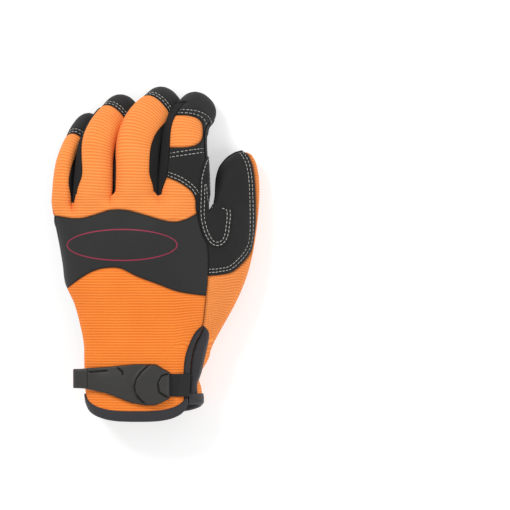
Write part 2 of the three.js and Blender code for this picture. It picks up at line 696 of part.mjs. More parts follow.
const panels = [
  {
    name: 'knuckle_knit',
    color: 0xf7903f,
    on: ['body', 'web', 'finger'],
    cuts: ['back', 'knitSide', 'aboveBand', 'notCap'],
  },
  { name: 'index_knit', color: 0xf5934e, on: ['finger3'], cuts: ['back', 'window', 'notCap'] },
  {
    name: 'index_patch',
    color: 0x363636,
    on: ['body', 'finger3'],
    cuts: ['back', 'thumbSide', 'aboveCrotch', 'notWindow', 'notCap'],
  },
  {
    name: 'knuckle_band',
    color: 0x313231,
    on: ['body'],
    cuts: ['back', 'knitSide', 'belowBandTop', 'aboveBandBottom'],
  },
  { name: 'wrist_knit', color: 0xf68336, on: ['body'], cuts: ['back', 'knitSideSlit', 'belowBand'] },
  { name: 'thumb_knit', color: 0xf58c45, on: ['body', 'thumb'], cuts: ['wrapA', 'wrapB'] },
  {
    name: 'thumb_leather',
    color: 0x2a2a2a,
    on: ['body', 'thumb'],
    cuts: ['back', 'thumbSide', 'insideWrap', 'belowCrotch'],
  },
  {
    name: 'palm_leather',
    color: 0x323232,
    on: ['body', 'web', 'finger', 'thumb'],
    cuts: ['palm', 'insideWrap', 'aboveCuff', 'notCap'],
  },
  { name: 'palm_cuff_knit', color: 0xf98c41, on: ['body'], cuts: ['palm', 'insideWrap', 'belowLeather'] },
  ...fingers.map((f, i) => ({
    name: 'fingertip_' + f.name,
    color: 0x363535,
    on: ['finger' + i],
    cuts: ['cap'],
  })),
  ...webs.map((w, i) => ({
    name: 'fourchette_' + (i + 1),
    color: 0x2c2c2c,
    on: ['web' + i, 'finger' + i, 'finger' + (i + 1)],
    between: i,
    margin: fourchetteGap,
    cuts: ['notBack', 'notPalm', 'notCap'],
  })),
];

// Triangles of the skin
const skinTriangles = [];
for (const face of skin.faces) {
  for (let i = 1; i + 1 < face.loop.length; i++) {
    skinTriangles.push({ part: face.part, corners: [face.loop[0], face.loop[i], face.loop[i + 1]] });
  }
}
for (const triangle of skinTriangles) {
  for (const v of triangle.corners) skin.points[v].part ??= triangle.part;
}
for (const triangle of skinTriangles) {
  if (triangle.part === 'thumb') continue;
  for (const v of triangle.corners) if (skin.points[v].part === 'thumb') skin.points[v].part = triangle.part;
}

const snap = 0.03; // cuts that pass a vertex this closely go through it

// The part of the skin where every field is more than half a seam gap inside, as points and
// triangles. Corners made by a cut are shared between neighbouring triangles.
function cutSheet(wanted, cuts, margin = seamGap / 2) {
  const known = new Map();
  const corner = (v) => {
    if (!known.has(v)) {
      const point = skin.points[v];
      const values = cuts.map((cut) => {
        const value = inside[cut](point) - margin;
        return Math.abs(value) < snap ? 0 : value;
      });
      known.set(v, { id: known.size, p: point.p, n: point.n, values });
    }
    return known.get(v);
  };
  const crossing = (a, b, k) => {
    const [low, high] = a.id < b.id ? [a, b] : [b, a];
    const key = low.id + ':' + high.id + ':' + k;
    if (!known.has(key)) {
      const t = low.values[k] / (low.values[k] - high.values[k]);
      const values = low.values.map((value, j) => (j === k ? 0 : lerp(value, high.values[j], t)));
      const n = low.n.clone().lerp(high.n, t).normalize();
      known.set(key, { id: known.size, p: low.p.clone().lerp(high.p, t), n, values });
    }
    return known.get(key);
  };
  const triangles = [];
  for (const triangle of skinTriangles) {
    if (!wanted(triangle)) continue;
    let loop = triangle.corners.map(corner);
    for (let k = 0; k < cuts.length && loop.length; k++) {
      const next = [];
      loop.forEach((a, i) => {
        const b = loop[(i + 1) % loop.length];
        if (a.values[k] >= 0) next.push(a);
        if (a.values[k] * b.values[k] < 0) next.push(crossing(a, b, k));
      });
      loop = next.some((q) => q.values[k] > 0) ? next : [];
    }
    for (let i = 1; i + 1 < loop.length; i++) triangles.push([loop[0], loop[i], loop[i + 1]]);
  }
  return triangles;
}

// A closed solid between two offsets from a sheet. over and under give the offsets in millimetres
// along the outward normal.
function thicken(triangles, over, under) {
  const ids = new Map();
  const verts = [];
  const list = [];
  const boundary = new Map();
  for (const triangle of triangles) {
    for (const q of triangle) {
      if (!ids.has(q.id)) {
        ids.set(q.id, ids.size);
        list.push(q);
      }
    }
  }
  for (const offset of [over, under]) {
    for (const q of list) {
      const p = q.p.clone().addScaledVector(q.n, typeof offset === 'function' ? offset(q) : offset);
      verts.push(p.x, p.y, p.z);
    }
  }
  const count = list.length;
  const index = [];
  for (const triangle of triangles) {
    const [a, b, c] = triangle.map((q) => ids.get(q.id));
    index.push(a, b, c, count + a, count + c, count + b);
    for (const [from, to] of [[a, b], [b, c], [c, a]]) {
      if (boundary.has(to + ':' + from)) boundary.delete(to + ':' + from);
      else boundary.set(from + ':' + to, [from, to]);
    }
  }
  for (const [from, to] of boundary.values()) {
    index.push(from, count + from, to, to, count + from, count + to);
  }
  const geometry = new THREE.BufferGeometry();
  geometry.setAttribute('position', new THREE.Float32BufferAttribute(verts, 3));
  geometry.setIndex(index);
  geometry.computeVertexNormals();
  return geometry;
}

const glove = new THREE.Group();
function addPiece(name, geometry, color, roughness = 0.9) {
  const mesh = new THREE.Mesh(geometry, new THREE.MeshStandardMaterial({ color, roughness, metalness: 0 }));
  mesh.name = name;
  glove.add(mesh);
  return mesh;
}
const onPart = (part, list) => list.some((name) => part === name || part.replace(/\d/, '') === name);
for (const panel of panels) {
  const wanted = (triangle) => {
    if (!onPart(triangle.part, panel.on)) return false;
    if (panel.between === undefined || triangle.part.startsWith('web')) return true;
    const side = triangle.corners.reduce((sum, v) => sum + skin.points[v].side, 0);
    return triangle.part === 'finger' + panel.between ? side > 1 : side < -1;
  };
  addPiece(panel.name, thicken(cutSheet(wanted, panel.cuts, panel.margin), 0, -wall), panel.color);
}

// Pieces sewn on top of the skin: each is a stretch of it, lifted clear by the seam gap.
function closedLine(outline, steps = 6) {
  const points = [];
  const n = outline.length;
  const at = (k) => outline[(k + n) % n];
  for (let i = 0; i < n; i++) {
    for (let j = 0; j < steps; j++) {
      const t = j / steps;
      const curve = (key) => {
        const [a, b, c, d] = [at(i - 1)[key], at(i)[key], at(i + 1)[key], at(i + 2)[key]];
        return b + 0.5 * t * (c - a + t * (2 * a - 5 * b + 4 * c - d + t * (3 * (b - c) + d - a)));
      };
      points.push([curve('across') * palmWidth, curve('along') * bodyLength]);
    }
  }
  return points;
}
function insideLine(outline) {
  const points = closedLine(outline);
  return (p) => {
    let best = Infinity;
    let within = false;
    points.forEach(([ax, ay], i) => {
      const [bx, by] = points[(i + 1) % points.length];
      const t = ((p.x - ax) * (bx - ax) + (p.y - ay) * (by - ay)) / ((bx - ax) ** 2 + (by - ay) ** 2);
      const u = Math.min(1, Math.max(0, t));
      best = Math.min(best, Math.hypot(p.x - ax - u * (bx - ax), p.y - ay - u * (by - ay)));
      if (ay > p.y !== by > p.y && p.x < ax + ((p.y - ay) / (by - ay)) * (bx - ax)) within = !within;
    });
    return within ? best : -best;
  };
}
const saddleBack = insideLine([
  { across: 0.451, along: 1.2 },
  { across: 0.411, along: 1.109 },
  { across: 0.404, along: 1.009 },
  { across: 0.403, along: 0.921 },
  { across: 0.429, along: 0.848 },
  { across: 0.469, along: 0.8 },
  { across: 0.515, along: 0.785 },
  { across: 0.56, along: 0.8 },
  { across: 0.594, along: 0.828 },
  { across: 0.61, along: 0.882 },
  { across: 0.595, along: 0.94 },
  { across: 0.54, along: 0.96 },
  { across: 0.49, along: 0.98 },
  { across: 0.478, along: 1.08 },
  { across: 0.478, along: 1.19 },
]);
const saddlePalm = insideLine([
  { across: 0.451, along: 1.19 },
  { across: 0.385, along: 1.145 },
  { across: 0.345, along: 1.07 },
  { across: 0.365, along: 0.99 },
  { across: 0.41, along: 0.935 },
  { across: 0.47, along: 0.9 },
  { across: 0.52, along: 0.935 },
  { across: 0.49, along: 0.98 },
  { across: 0.478, along: 1.08 },
  { across: 0.478, along: 1.18 },
]);
const thumbCrease = besideLine([
  { across: 0.42, along: 0.93 },
  { across: 0.463, along: 0.92 },
  { across: 0.641, along: 0.845 },
  { across: 0.72, along: 0.81 },
]);
const slitLeafLeft = besideLine([
  { across: 0.445, along: 0.44 },
  { across: 0.401, along: 0.419 },
  { across: 0.364, along: 0.383 },
  { across: 0.32, along: 0.302 },
  { across: 0.306, along: 0.217 },
  { across: 0.308, along: 0.107 },
]);
const slitLeafRight = besideLine([
  { across: 0.42, along: 0.44 },
  { across: 0.462, along: 0.41 },
  { across: 0.465, along: 0.374 },
  { across: 0.444, along: 0.302 },
  { across: 0.415, along: 0.217 },
  { across: 0.39, along: 0.16 },
  { across: 0.4, along: 0.1 },
]);
const patchInset = 1.2; // how far a patch's edge stays from the seams beside it
Object.assign(inside, {
  saddle: (v) => lerp(saddleBack(v.p), saddlePalm(v.p), v.face),
  clearOfSaddle: (v) => -inside.saddle(v) - patchInset,
  pastCrease: (v) => -thumbCrease(v.p),
  insetLeather: (v) => -palmEdge(v) - patchInset,
  insetPalm: (v) => v.palm - patchInset,
  indexTip: (v) => v.s + tipPatchLength,
  awayFromMiddle: (v) => (v.side + 0.8) * 12,
  indexFront: (v) => (v.face - 0.35) * 12,
  indexEnd: (v) => -2.5 - v.s,
  slitLeft: (v) => -thumbSide(v) - slitHalf,
  slitRight: (v) => thumbSide(v) - slitHalf,
  leafLeft: (v) => -slitLeafLeft(v.p),
  leafRight: (v) => slitLeafRight(v.p),
  aboveBinding: (v) => v.hem - bindingWidth,
  onBack: (v) => (0.4 - v.face) * 12,
});
const patches = [
  {
    name: 'thumb_saddle',
    color: 0x303030,
    on: ['body', 'finger3', 'thumb'],
    cuts: ['saddle'],
    thick: patchThick,
  },
  {
    name: 'thumb_patch',
    color: 0x3c3c39,
    on: ['thumb'],
    cuts: ['insetPalm', 'insetLeather', 'pastCrease', 'clearOfSaddle'],
    thick: patchThick,
  },
  {
    name: 'index_tip_patch',
    color: 0x3a3a3a,
    on: ['finger3'],
    cuts: ['indexFront', 'awayFromMiddle', 'indexTip', 'indexEnd'],
    thick: patchThick,
  },
  {
    name: 'slit_binding_left',
    color: 0x2c2c2c,
    on: ['body'],
    cuts: ['onBack', 'slitLeft', 'leafLeft', 'aboveBinding'],
    thick: bindingThick,
  },
  {
    name: 'slit_binding_right',
    color: 0x2c2c2c,
    on: ['body', 'thumb'],
    cuts: ['onBack', 'slitRight', 'leafRight', 'aboveBinding'],
    thick: leafThick,
  },
];
for (const patch of patches) {
  const triangles = cutSheet((triangle) => onPart(triangle.part, patch.on), patch.cuts);
  addPiece(patch.name, thicken(triangles, seamGap + patch.thick, seamGap), patch.color);
}

// Finds the skin straight above or below a place on the floor plan: its height and normal on the
// back (side 1) or on the palm (side -1), or nothing beyond the outline.
function skinAt(x, y, side) {
  let found = null;
  for (const triangle of skinTriangles) {
    const [a, b, c] = triangle.corners.map((v) => skin.points[v]);
    const area = (b.p.x - a.p.x) * (c.p.y - a.p.y) - (c.p.x - a.p.x) * (b.p.y - a.p.y);
    if (area * side <= 1e-9) continue;
    const u = ((x - a.p.x) * (c.p.y - a.p.y) - (c.p.x - a.p.x) * (y - a.p.y)) / area;
    const w = ((b.p.x - a.p.x) * (y - a.p.y) - (x - a.p.x) * (b.p.y - a.p.y)) / area;
    if (u < -1e-6 || w < -1e-6 || u + w > 1 + 1e-6) continue;
    const z = a.p.z + u * (b.p.z - a.p.z) + w * (c.p.z - a.p.z);
    if (found && (z - found.z) * side < 0) continue;
    const n = a.n.clone().multiplyScalar(1 - u - w).addScaledVector(b.n, u).addScaledVector(c.n, w);
    found = { z, n: n.normalize() };
  }
  return found;
}

// A closed solid from a grid of lower and upper points, rows by columns.
function solidFrom(verts, index) {
  let volume = 0;
  const at = (k) => vec(verts[3 * k], verts[3 * k + 1], verts[3 * k + 2]);
  for (let i = 0; i < index.length; i += 3) {
    volume += at(index[i]).dot(at(index[i + 1]).cross(at(index[i + 2])));
  }
  const geometry = new THREE.BufferGeometry();
  geometry.setAttribute('position', new THREE.Float32BufferAttribute(verts, 3));
  geometry.setIndex(volume < 0 ? index.reverse() : index);
  geometry.computeVertexNormals();
  return geometry;
}
function gridSolid(lower, upper) {
  const rows = lower.length;
  const columns = lower[0].length;
  const verts = [];
  for (const grid of [upper, lower]) for (const row of grid) for (const p of row) verts.push(p.x, p.y, p.z);
  const at = (layer, i, j) => layer * rows * columns + i * columns + j;
  const index = [];
  const quad = (a, b, c, d) => index.push(a, b, c, a, c, d);
  for (let i = 0; i + 1 < rows; i++) {
    for (let j = 0; j + 1 < columns; j++) {
      quad(at(0, i, j), at(0, i + 1, j), at(0, i + 1, j + 1), at(0, i, j + 1));
      quad(at(1, i, j), at(1, i, j + 1), at(1, i + 1, j + 1), at(1, i + 1, j));
    }
  }
  for (let i = 0; i + 1 < rows; i++) {
    quad(at(0, i, 0), at(1, i, 0), at(1, i + 1, 0), at(0, i + 1, 0));
    quad(at(0, i + 1, columns - 1), at(1, i + 1, columns - 1), at(1, i, columns - 1), at(0, i, columns - 1));
  }
  for (let j = 0; j + 1 < columns; j++) {
    quad(at(0, 0, j + 1), at(1, 0, j + 1), at(1, 0, j), at(0, 0, j));
    quad(at(0, rows - 1, j), at(1, rows - 1, j), at(1, rows - 1, j + 1), at(0, rows - 1, j + 1));
  }
  return solidFrom(verts, index);
}

// Foam pads under the palm leather's cover patches. Each row of a table is a cut across the pad
// between two edges, a and b, from one end of the pad to the other.
const padEdge = 0.7; // a pad's thickness at its rim
const padClear = 0.1; // clearance beyond the seam gap
const pads = {
  knuckle_pad: {
    rows: [
      { ax: -0.492, ay: 0.925, bx: -0.492, by: 0.955 },
      { ax: -0.46, ay: 0.888, bx: -0.46, by: 0.99 },
      { ax: -0.394, ay: 0.874, bx: -0.394, by: 0.95 },
      { ax: -0.33, ay: 0.866, bx: -0.33, by: 1.02 },
      { ax: -0.27, ay: 0.862, bx: -0.27, by: 1.045 },
      { ax: -0.2, ay: 0.859, bx: -0.2, by: 1.03 },
      { ax: -0.147, ay: 0.857, bx: -0.147, by: 0.985 },
      { ax: -0.075, ay: 0.857, bx: -0.075, by: 1.035 },
      { ax: -0.004, ay: 0.857, bx: -0.004, by: 1.055 },
      { ax: 0.07, ay: 0.857, bx: 0.07, by: 1.035 },
      { ax: 0.135, ay: 0.857, bx: 0.135, by: 0.97 },
      { ax: 0.2, ay: 0.857, bx: 0.2, by: 1.02 },
      { ax: 0.26, ay: 0.858, bx: 0.26, by: 1.035 },
      { ax: 0.32, ay: 0.862, bx: 0.31, by: 1.02 },
      { ax: 0.35, ay: 0.885, bx: 0.35, by: 0.955 },
    ],
    columns: 4,
  },
  heel_pad: {
    rows: [
      { ax: 0.3, ay: 0.742, bx: 0.303, by: 0.765 },
      { ax: 0.235, ay: 0.72, bx: 0.25, by: 0.795 },
      { ax: 0.14, ay: 0.69, bx: 0.15, by: 0.81 },
      { ax: 0.03, ay: 0.656, bx: 0.03, by: 0.813 },
      { ax: -0.07, ay: 0.621, bx: -0.13, by: 0.806 },
      { ax: -0.12, ay: 0.585, bx: -0.28, by: 0.808 },
      { ax: -0.155, ay: 0.545, bx: -0.415, by: 0.78 },
      { ax: -0.175, ay: 0.499, bx: -0.395, by: 0.66 },
      { ax: -0.18, ay: 0.445, bx: -0.345, by: 0.55 },
      { ax: -0.185, ay: 0.395, bx: -0.305, by: 0.45 },
      { ax: -0.205, ay: 0.37, bx: -0.265, by: 0.385 },
    ],
    columns: 4,
  },
  thenar_pad: {
    rows: [
      { ax: 0.345, ay: 0.672, bx: 0.322, by: 0.69 },
      { ax: 0.345, ay: 0.64, bx: 0.225, by: 0.676 },
      { ax: 0.318, ay: 0.589, bx: 0.072, by: 0.621 },
      { ax: 0.28, ay: 0.53, bx: -0.032, by: 0.565 },
      { ax: 0.238, ay: 0.475, bx: -0.115, by: 0.499 },
      { ax: 0.175, ay: 0.415, bx: -0.155, by: 0.43 },
      { ax: 0.095, ay: 0.362, bx: -0.14, by: 0.375 },
      { ax: 0.02, ay: 0.34, bx: -0.07, by: 0.344 },
    ],
    columns: 5,
  },
};
// Where the leather folds, a pad bridges the fold: its corners are let down until the straight
// lines between them clear the leather.
function bridge(grid) {
  const places = grid.flat();
  const pairs = [];
  grid.forEach((row, i) =>
    row.forEach((q, j) => {
      if (j + 1 < row.length) pairs.push([q, row[j + 1]]);
      if (i + 1 < grid.length) pairs.push([q, grid[i + 1][j]]);
      if (i + 1 < grid.length && j + 1 < row.length) pairs.push([q, grid[i + 1][j + 1]]);
    }),
  );
  for (let round = 0; round < 3; round++) {
    for (const q of places) q.fall = 0;
    for (const [a, b] of pairs) {
      for (const t of [0.2, 0.4, 0.6, 0.8]) {
        const p = a.p.clone().lerp(b.p, t);
        const skinHere = skinAt(p.x, p.y, -1);
        if (!skinHere) continue;
        const over = p.z - (skinHere.z - seamGap);
        a.fall = Math.max(a.fall, over * Math.min(1, 1.6 * (1 - t)));
        b.fall = Math.max(b.fall, over * Math.min(1, 1.6 * t));
      }
    }
    for (const q of places) q.p.z -= q.fall;
  }
}
for (const [name, pad] of Object.entries(pads)) {
  const grid = pad.rows.map((row, i) => {
    const list = [];
    for (let j = 0; j <= pad.columns; j++) {
      const t = j / pad.columns;
      const x = lerp(row.ax, row.bx, t) * palmWidth;
      const y = lerp(row.ay, row.by, t) * bodyLength;
      const { z, n } = skinAt(x, y, -1);
      const crown = Math.sqrt(4 * t * (1 - t)) * Math.sqrt(Math.sin((Math.PI * i) / (pad.rows.length - 1)));
      const p = vec(x, y, z).addScaledVector(n, seamGap + padClear);
      list.push({ p, n, thick: lerp(padEdge, padThick, crown) });
    }
    return list;
  });
  bridge(grid);
  const lower = grid.map((row) => row.map((q) => q.p));
  const upper = grid.map((row) => row.map((q) => q.p.clone().addScaledVector(q.n, q.thick)));
  addPiece(name, gridSolid(lower, upper), 0x363636);
}

// The tape that binds the hem, folded over it from outside to inside, open at the wrist slit.
{
  const firstBack = bodyRings[0].back;
  const nextBack = bodyRings[1].back;
  const hemPoint = (v, next) => {
    const point = skin.points[v];
    const above = skin.points[next];
    const share = bindingWidth / point.p.distanceTo(above.p);
    const top = point.p.clone().lerp(above.p, share);
    const topN = point.n.clone().lerp(above.n, share).normalize();
    return { p: point.p, n: point.n, top, topN };
  };
  const between = (a, b, t) => ({
    p: a.p.clone().lerp(b.p, t),
    n: a.n.clone().lerp(b.n, t).normalize(),
    top: a.top.clone().lerp(b.top, t),
    topN: a.topN.clone().lerp(b.topN, t).normalize(),
  });
  const backPoints = firstBack.map((v, i) => {
    return { ...hemPoint(v, nextBack[i]), off: thumbSide(skin.points[v]) };
  });
  const slitEnd = (limit) => {
    const i = backPoints.findIndex((q) => q.off > limit);
    const [a, b] = [backPoints[i - 1], backPoints[i]];
    return { i, point: between(a, b, (limit - a.off) / (b.off - a.off)) };
  };
  const left = slitEnd(-slitHalf - seamGap);
  const right = slitEnd(slitHalf + seamGap);
  const around = (key) => bodyRings[0][key].map((v, i) => hemPoint(v, bodyRings[1][key][i]));
  const path = [
    left.point,
    ...backPoints.slice(0, left.i).reverse(),
    ...around('left'),
    ...around('palm'),
    ...around('right').reverse(),
    ...backPoints.slice(right.i).reverse(),
    right.point,
  ];
  const section = (q) => {
    const up = q.top.clone().sub(q.p).normalize();
    const at = (base, n, out, down) => base.clone().addScaledVector(n, out).addScaledVector(up, -down);
    const clear = seamGap;
    const full = seamGap + bindingThick;
    return [
      at(q.top, q.topN, full, 0),
      at(q.p, q.n, full, full),
      at(q.p, q.n, -wall - full, full),
      at(q.top, q.topN, -wall - full, 0),
      at(q.top, q.topN, -wall - clear, 0),
      at(q.p, q.n, -wall - clear, clear),
      at(q.p, q.n, clear, clear),
      at(q.top, q.topN, clear, 0),
    ];
  };
  const sections = path.map(section);
  const size = sections[0].length;
  const verts = sections.flat().flatMap((p) => [p.x, p.y, Math.max(p.z, 0)]);
  const index = [];
  for (let i = 0; i + 1 < sections.length; i++) {
    for (let j = 0; j < size; j++) {
      const [a, b] = [i * size + j, i * size + ((j + 1) % size)];
      index.push(a, b, b + size, a, b + size, a + size);
    }
  }
  const cap = (start, turned) => {
    for (let j = 0; j < size / 2 - 1; j++) {
      const [a, b, c, d] = [j, j + 1, size - 2 - j, size - 1 - j].map((k) => start + k);
      if (turned) index.push(a, b, c, a, c, d);
      else index.push(a, c, b, a, d, c);
    }
  };
  cap(0, false);
  cap((sections.length - 1) * size, true);
  addPiece('cuff_binding', solidFrom(verts, index), 0x434145);
}

// The wrist strap: a moulded rubber tab with a grip at its free end, and the webbing that carries
// it out of the slit. Each row is a cut across the strap from its upper to its lower edge.
const strapRows = {
  strap_grip: [
    { across: -0.394, top: 0.228, bottom: 0.156, thick: 0.6 },
    { across: -0.385, top: 0.234, bottom: 0.149, thick: 1.15 },
    { across: -0.35, top: 0.236, bottom: 0.147, thick: 1.15 },
    { across: -0.309, top: 0.239, bottom: 0.145, thick: 1.1 },
  ],
  strap_tab: [
    { across: -0.305, top: 0.24, bottom: 0.144, thick: 0.8 },
    { across: -0.24, top: 0.243, bottom: 0.134, thick: 0.9 },
    { across: -0.175, top: 0.246, bottom: 0.123, thick: 1 },
    { across: -0.1, top: 0.252, bottom: 0.103, thick: 1 },
    { across: -0.042, top: 0.255, bottom: 0.087, thick: 1 },
    { across: 0.005, top: 0.258, bottom: 0.078, thick: 1.3 },
    { across: 0.072, top: 0.258, bottom: 0.071, thick: 1.45 },
    { across: 0.135, top: 0.256, bottom: 0.073, thick: 1.3 },
    { across: 0.175, top: 0.24, bottom: 0.085, thick: 1 },
    { across: 0.222, top: 0.222, bottom: 0.102, thick: 0.9 },
  ],
};
const strapSlope = 0.5; // steepest fall of the strap's free end past the side of the wrist
const strapProfile = [
  { share: 0, level: 0.45 },
  { share: 0.12, level: 1 },
  { share: 0.5, level: 1.05 },
  { share: 0.88, level: 1 },
  { share: 1, level: 0.45 },
];
// Height of the strap's underside: it lies straight across its width on the wrist's highest line.
function strapSeat(across) {
  let highest = -Infinity;
  for (const aside of [-0.02, 0, 0.02]) {
    for (let along = 0.07; along < 0.265; along += 0.02) {
      const found = skinAt((across + aside) * palmWidth, along * bodyLength, 1);
      if (found) highest = Math.max(highest, found.z);
    }
  }
  return highest + seamGap;
}
const strapStart = -0.24;
function strapHeight(across) {
  const step = 0.01;
  let z = strapSeat(Math.max(across, strapStart));
  for (let at = strapStart - step; at >= across - 1e-9; at -= step) {
    z = Math.max(strapSeat(at), z - strapSlope * step * palmWidth);
  }
  return z;
}
for (const [name, rows] of Object.entries(strapRows)) {
  const lower = [];
  const upper = [];
  for (const row of rows) {
    const z = strapHeight(row.across);
    const alongOf = (share) => lerp(row.top, row.bottom, share) * bodyLength;
    lower.push(strapProfile.map((q) => vec(row.across * palmWidth, alongOf(q.share), z)));
    upper.push(lower.at(-1).map((p, i) => p.clone().setZ(z + tabThick * row.thick * strapProfile[i].level)));
  }
  addPiece(name, gridSolid(lower, upper), 0x3e3c3a, 0.7);
}

// The webbing runs from the tab over the slit's bound edge to the slit, where it goes under the
// puffed edge. Each row is a cut across it, with its distance from the tab or from the slit.
const webbingRows = [
  { from: 'tab', at: 0.4, lift: 0.4 },
  { from: 'tab', at: 5, lift: 0.6 },
  { from: 'slit', at: -8.5, lift: seamGap + bindingThick + 0.5 },
  { from: 'slit', at: -3, lift: seamGap + bindingThick + 0.5 },
  { from: 'slit', at: slitHalf - 0.4, lift: seamGap + bindingThick + 0.4 },
];
const webbingTop = 0.214;
const webbingBottom = 0.11;
{
  const slitX = (y) => {
    let [a, b] = [0.2 * palmWidth, 0.45 * palmWidth];
    for (let i = 0; i < 30; i++) {
      const middle = 0.5 * (a + b);
      if (beside.knitEdge(vec(middle, y, 0)) < 0) a = middle;
      else b = middle;
    }
    return a;
  };
  const tabEnd = strapRows.strap_tab.at(-1).across * palmWidth;
  const lower = [];
  const upper = [];
  for (const row of webbingRows) {
    const low = [];
    const high = [];
    for (let i = 0; i <= 4; i++) {
      const y = lerp(webbingTop, webbingBottom, i / 4) * bodyLength;
      const x = row.from === 'tab' ? tabEnd + row.at : slitX(y) + row.at;
      const { z, n } = skinAt(x, y, 1);
      low.push(vec(x, y, z).addScaledVector(n.setY(0).normalize(), row.lift));
      high.push(low[i].clone().addScaledVector(n, webbingThick));
    }
    lower.push(low);
    upper.push(high);
  }
  addPiece('strap_webbing', gridSolid(lower, upper), 0x2e2e2e);
}

// The origin is on the floor under the middle of the glove.
const box = new THREE.Box3().setFromObject(glove);
glove.position.set(-0.5 * (box.min.x + box.max.x), -0.5 * (box.min.y + box.max.y), -box.min.z);

export default glove;
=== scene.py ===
# A left-hand mechanic's glove lying palm down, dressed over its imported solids.
# The skin of the glove is worked out once, cut along the seams, and every panel is thickened,
# rolled in at its seams and sewn. Sizes are in millimetres until addMesh turns them to metres.
import bpy
import itertools
import math
import numpy as np
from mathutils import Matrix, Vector
from mathutils.bvhtree import BVHTree


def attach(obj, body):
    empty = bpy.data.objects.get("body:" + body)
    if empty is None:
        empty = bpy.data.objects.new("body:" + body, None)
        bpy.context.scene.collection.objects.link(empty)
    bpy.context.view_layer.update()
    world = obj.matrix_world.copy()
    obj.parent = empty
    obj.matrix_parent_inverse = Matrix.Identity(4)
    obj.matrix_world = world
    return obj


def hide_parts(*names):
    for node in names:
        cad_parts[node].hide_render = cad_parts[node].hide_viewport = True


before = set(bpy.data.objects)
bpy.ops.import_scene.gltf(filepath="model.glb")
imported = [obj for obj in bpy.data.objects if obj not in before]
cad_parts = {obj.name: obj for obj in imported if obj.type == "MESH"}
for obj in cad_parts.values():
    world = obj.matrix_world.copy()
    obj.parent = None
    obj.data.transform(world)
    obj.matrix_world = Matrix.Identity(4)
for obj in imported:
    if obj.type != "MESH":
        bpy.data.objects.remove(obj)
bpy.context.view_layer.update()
print("frame loaded")

# The solids' own sizes; origin is where their drawing has the floor's middle.
glove = {
    "origin": (14.871, 121.727, 0.0), "bodyLength": 161.0, "handDepth": 40.0, "sideTilt": 4.0,
    "hemBow": 13.0, "palmBow": 7.0, "slitAcross": 0.33, "slitTop": 68.0, "slitHalf": 0.3,
    "webGap": 1.1, "axisShare": 0.53, "fingerRise": 4.0, "domeLength": 13.0, "backTaper": 0.1,
    "cornerAngle": 27.0, "roundness": 2.3, "webTaper": 14.0, "knitWrapPinky": 0.75,
    "knitWrapIndex": 0.05, "tipPatchThick": 1.5, "bindingRoom": 1.5, "restDent": 0.6,
    "crotchSeam": 0.945,
}
# A finger is width wide at its root, then mid, then tip. lean, from start to end, bends it to the
# side and curl to the floor; cap is the leather's length. The knit's and the tip's edges lie at
# shares of the side's height. The tips may press together, so they lean more than the solids'.
fingerSizes = ("name width mid tip depth length root yaw lean start end curl cap "
               "knitLeft knitRight tipLeft tipRight").split()
fingers = [dict(zip(fingerSizes, row)) for row in (
    ("pinky", 15.8, 13.6, 17.2, 19, 79, 0.994, 3.2, 36, 0.15, 0.78, 59, 31, 0.75, -0.36, 0.75, 0.3),
    ("ring", 28.2, 25.4, 27.6, 23, 88.4, 1.025, 3.4, 46, 0.24, 0.78, 59, 25, -0.36, 0.3, 0.5, 0.6),
    ("middle", 30.6, 31, 30.2, 24, 91.6, 1.043, 1.2, 51, 0.22, 0.8, 60, 24, 0.3, -0.42, 0.9, -0.3),
    ("index", 37.2, 32, 28.1, 24, 86.2, 1.025, 1.2, 41, 0.42, 0.85, 60, 22, -0.42, 0.05, -0.42, 0.05))]
webAlong = [0.988, 1.028, 1.019]  # the webs between the fingers, from the pinky
palmWidth = sum(f["width"] for f in fingers) + glove["webGap"] * len(webAlong)
bodyLength, handDepth = glove["bodyLength"], glove["handDepth"]
# cuts across the hand: along, left, right, rise, drop, lift
bodyTable = np.array([
    [0.084, -0.308, 0.425, 0.52, 0.5, 0.52], [0.147, -0.318, 0.418, 0.51, 0.5, 0.525],
    [0.2, -0.322, 0.404, 0.49, 0.49, 0.535], [0.29, -0.324, 0.468, 0.51, 0.48, 0.54],
    [0.345, -0.326, 0.474, 0.52, 0.47, 0.56], [0.43, -0.348, 0.474, 0.53, 0.46, 0.61],
    [0.53, -0.385, 0.474, 0.54, 0.42, 0.69], [0.62, -0.441, 0.474, 0.55, 0.38, 0.76],
    [0.71, -0.459, 0.474, 0.55, 0.32, 0.84], [0.81, -0.482, 0.47, 0.55, 0.26, 0.91],
    [0.9, -0.508, 0.468, 0.54, 0.2, 0.97], [1, -0.53, 0.47, 0.52, 0.17, 1]])
# cuts across the thumb: inReach, inAlong, inLift, outReach, outAlong, outLift, half
thumbTable = np.array([
    [0.468, 0.916, 0.98, 0.474, 0.336, 0.575, 0.36], [0.49, 0.957, 0.92, 0.602, 0.471, 0.54, 0.37],
    [0.507, 0.988, 0.84, 0.691, 0.589, 0.49, 0.37], [0.513, 1.025, 0.75, 0.749, 0.721, 0.43, 0.36],
    [0.516, 1.061, 0.66, 0.778, 0.857, 0.38, 0.34], [0.522, 1.106, 0.56, 0.788, 0.98, 0.34, 0.32],
    [0.543, 1.152, 0.46, 0.784, 1.093, 0.31, 0.29], [0.588, 1.191, 0.38, 0.765, 1.17, 0.3, 0.23],
    [0.636, 1.214, 0.34, 0.737, 1.208, 0.3, 0.15]])
thumbTip = (0.689, 1.226, 0.32)
mesh = {"backCells": 16, "sideCells": 8, "bodySteps": 88, "fingerSteps": 44, "domeSteps": 8,
        "thumbSteps": 48, "thumbFirst": 32, "thumbLast": 72}


def softStep(a, b, x):
    t = np.clip((x - a) / (b - a), 0, 1)
    return t * t * (3 - 2 * t)


def mix(a, b, t):
    return a + (b - a) * t


def bulge(x):
    return np.maximum(0, 1 - np.abs(x) ** glove["roundness"]) ** (1 / glove["roundness"])


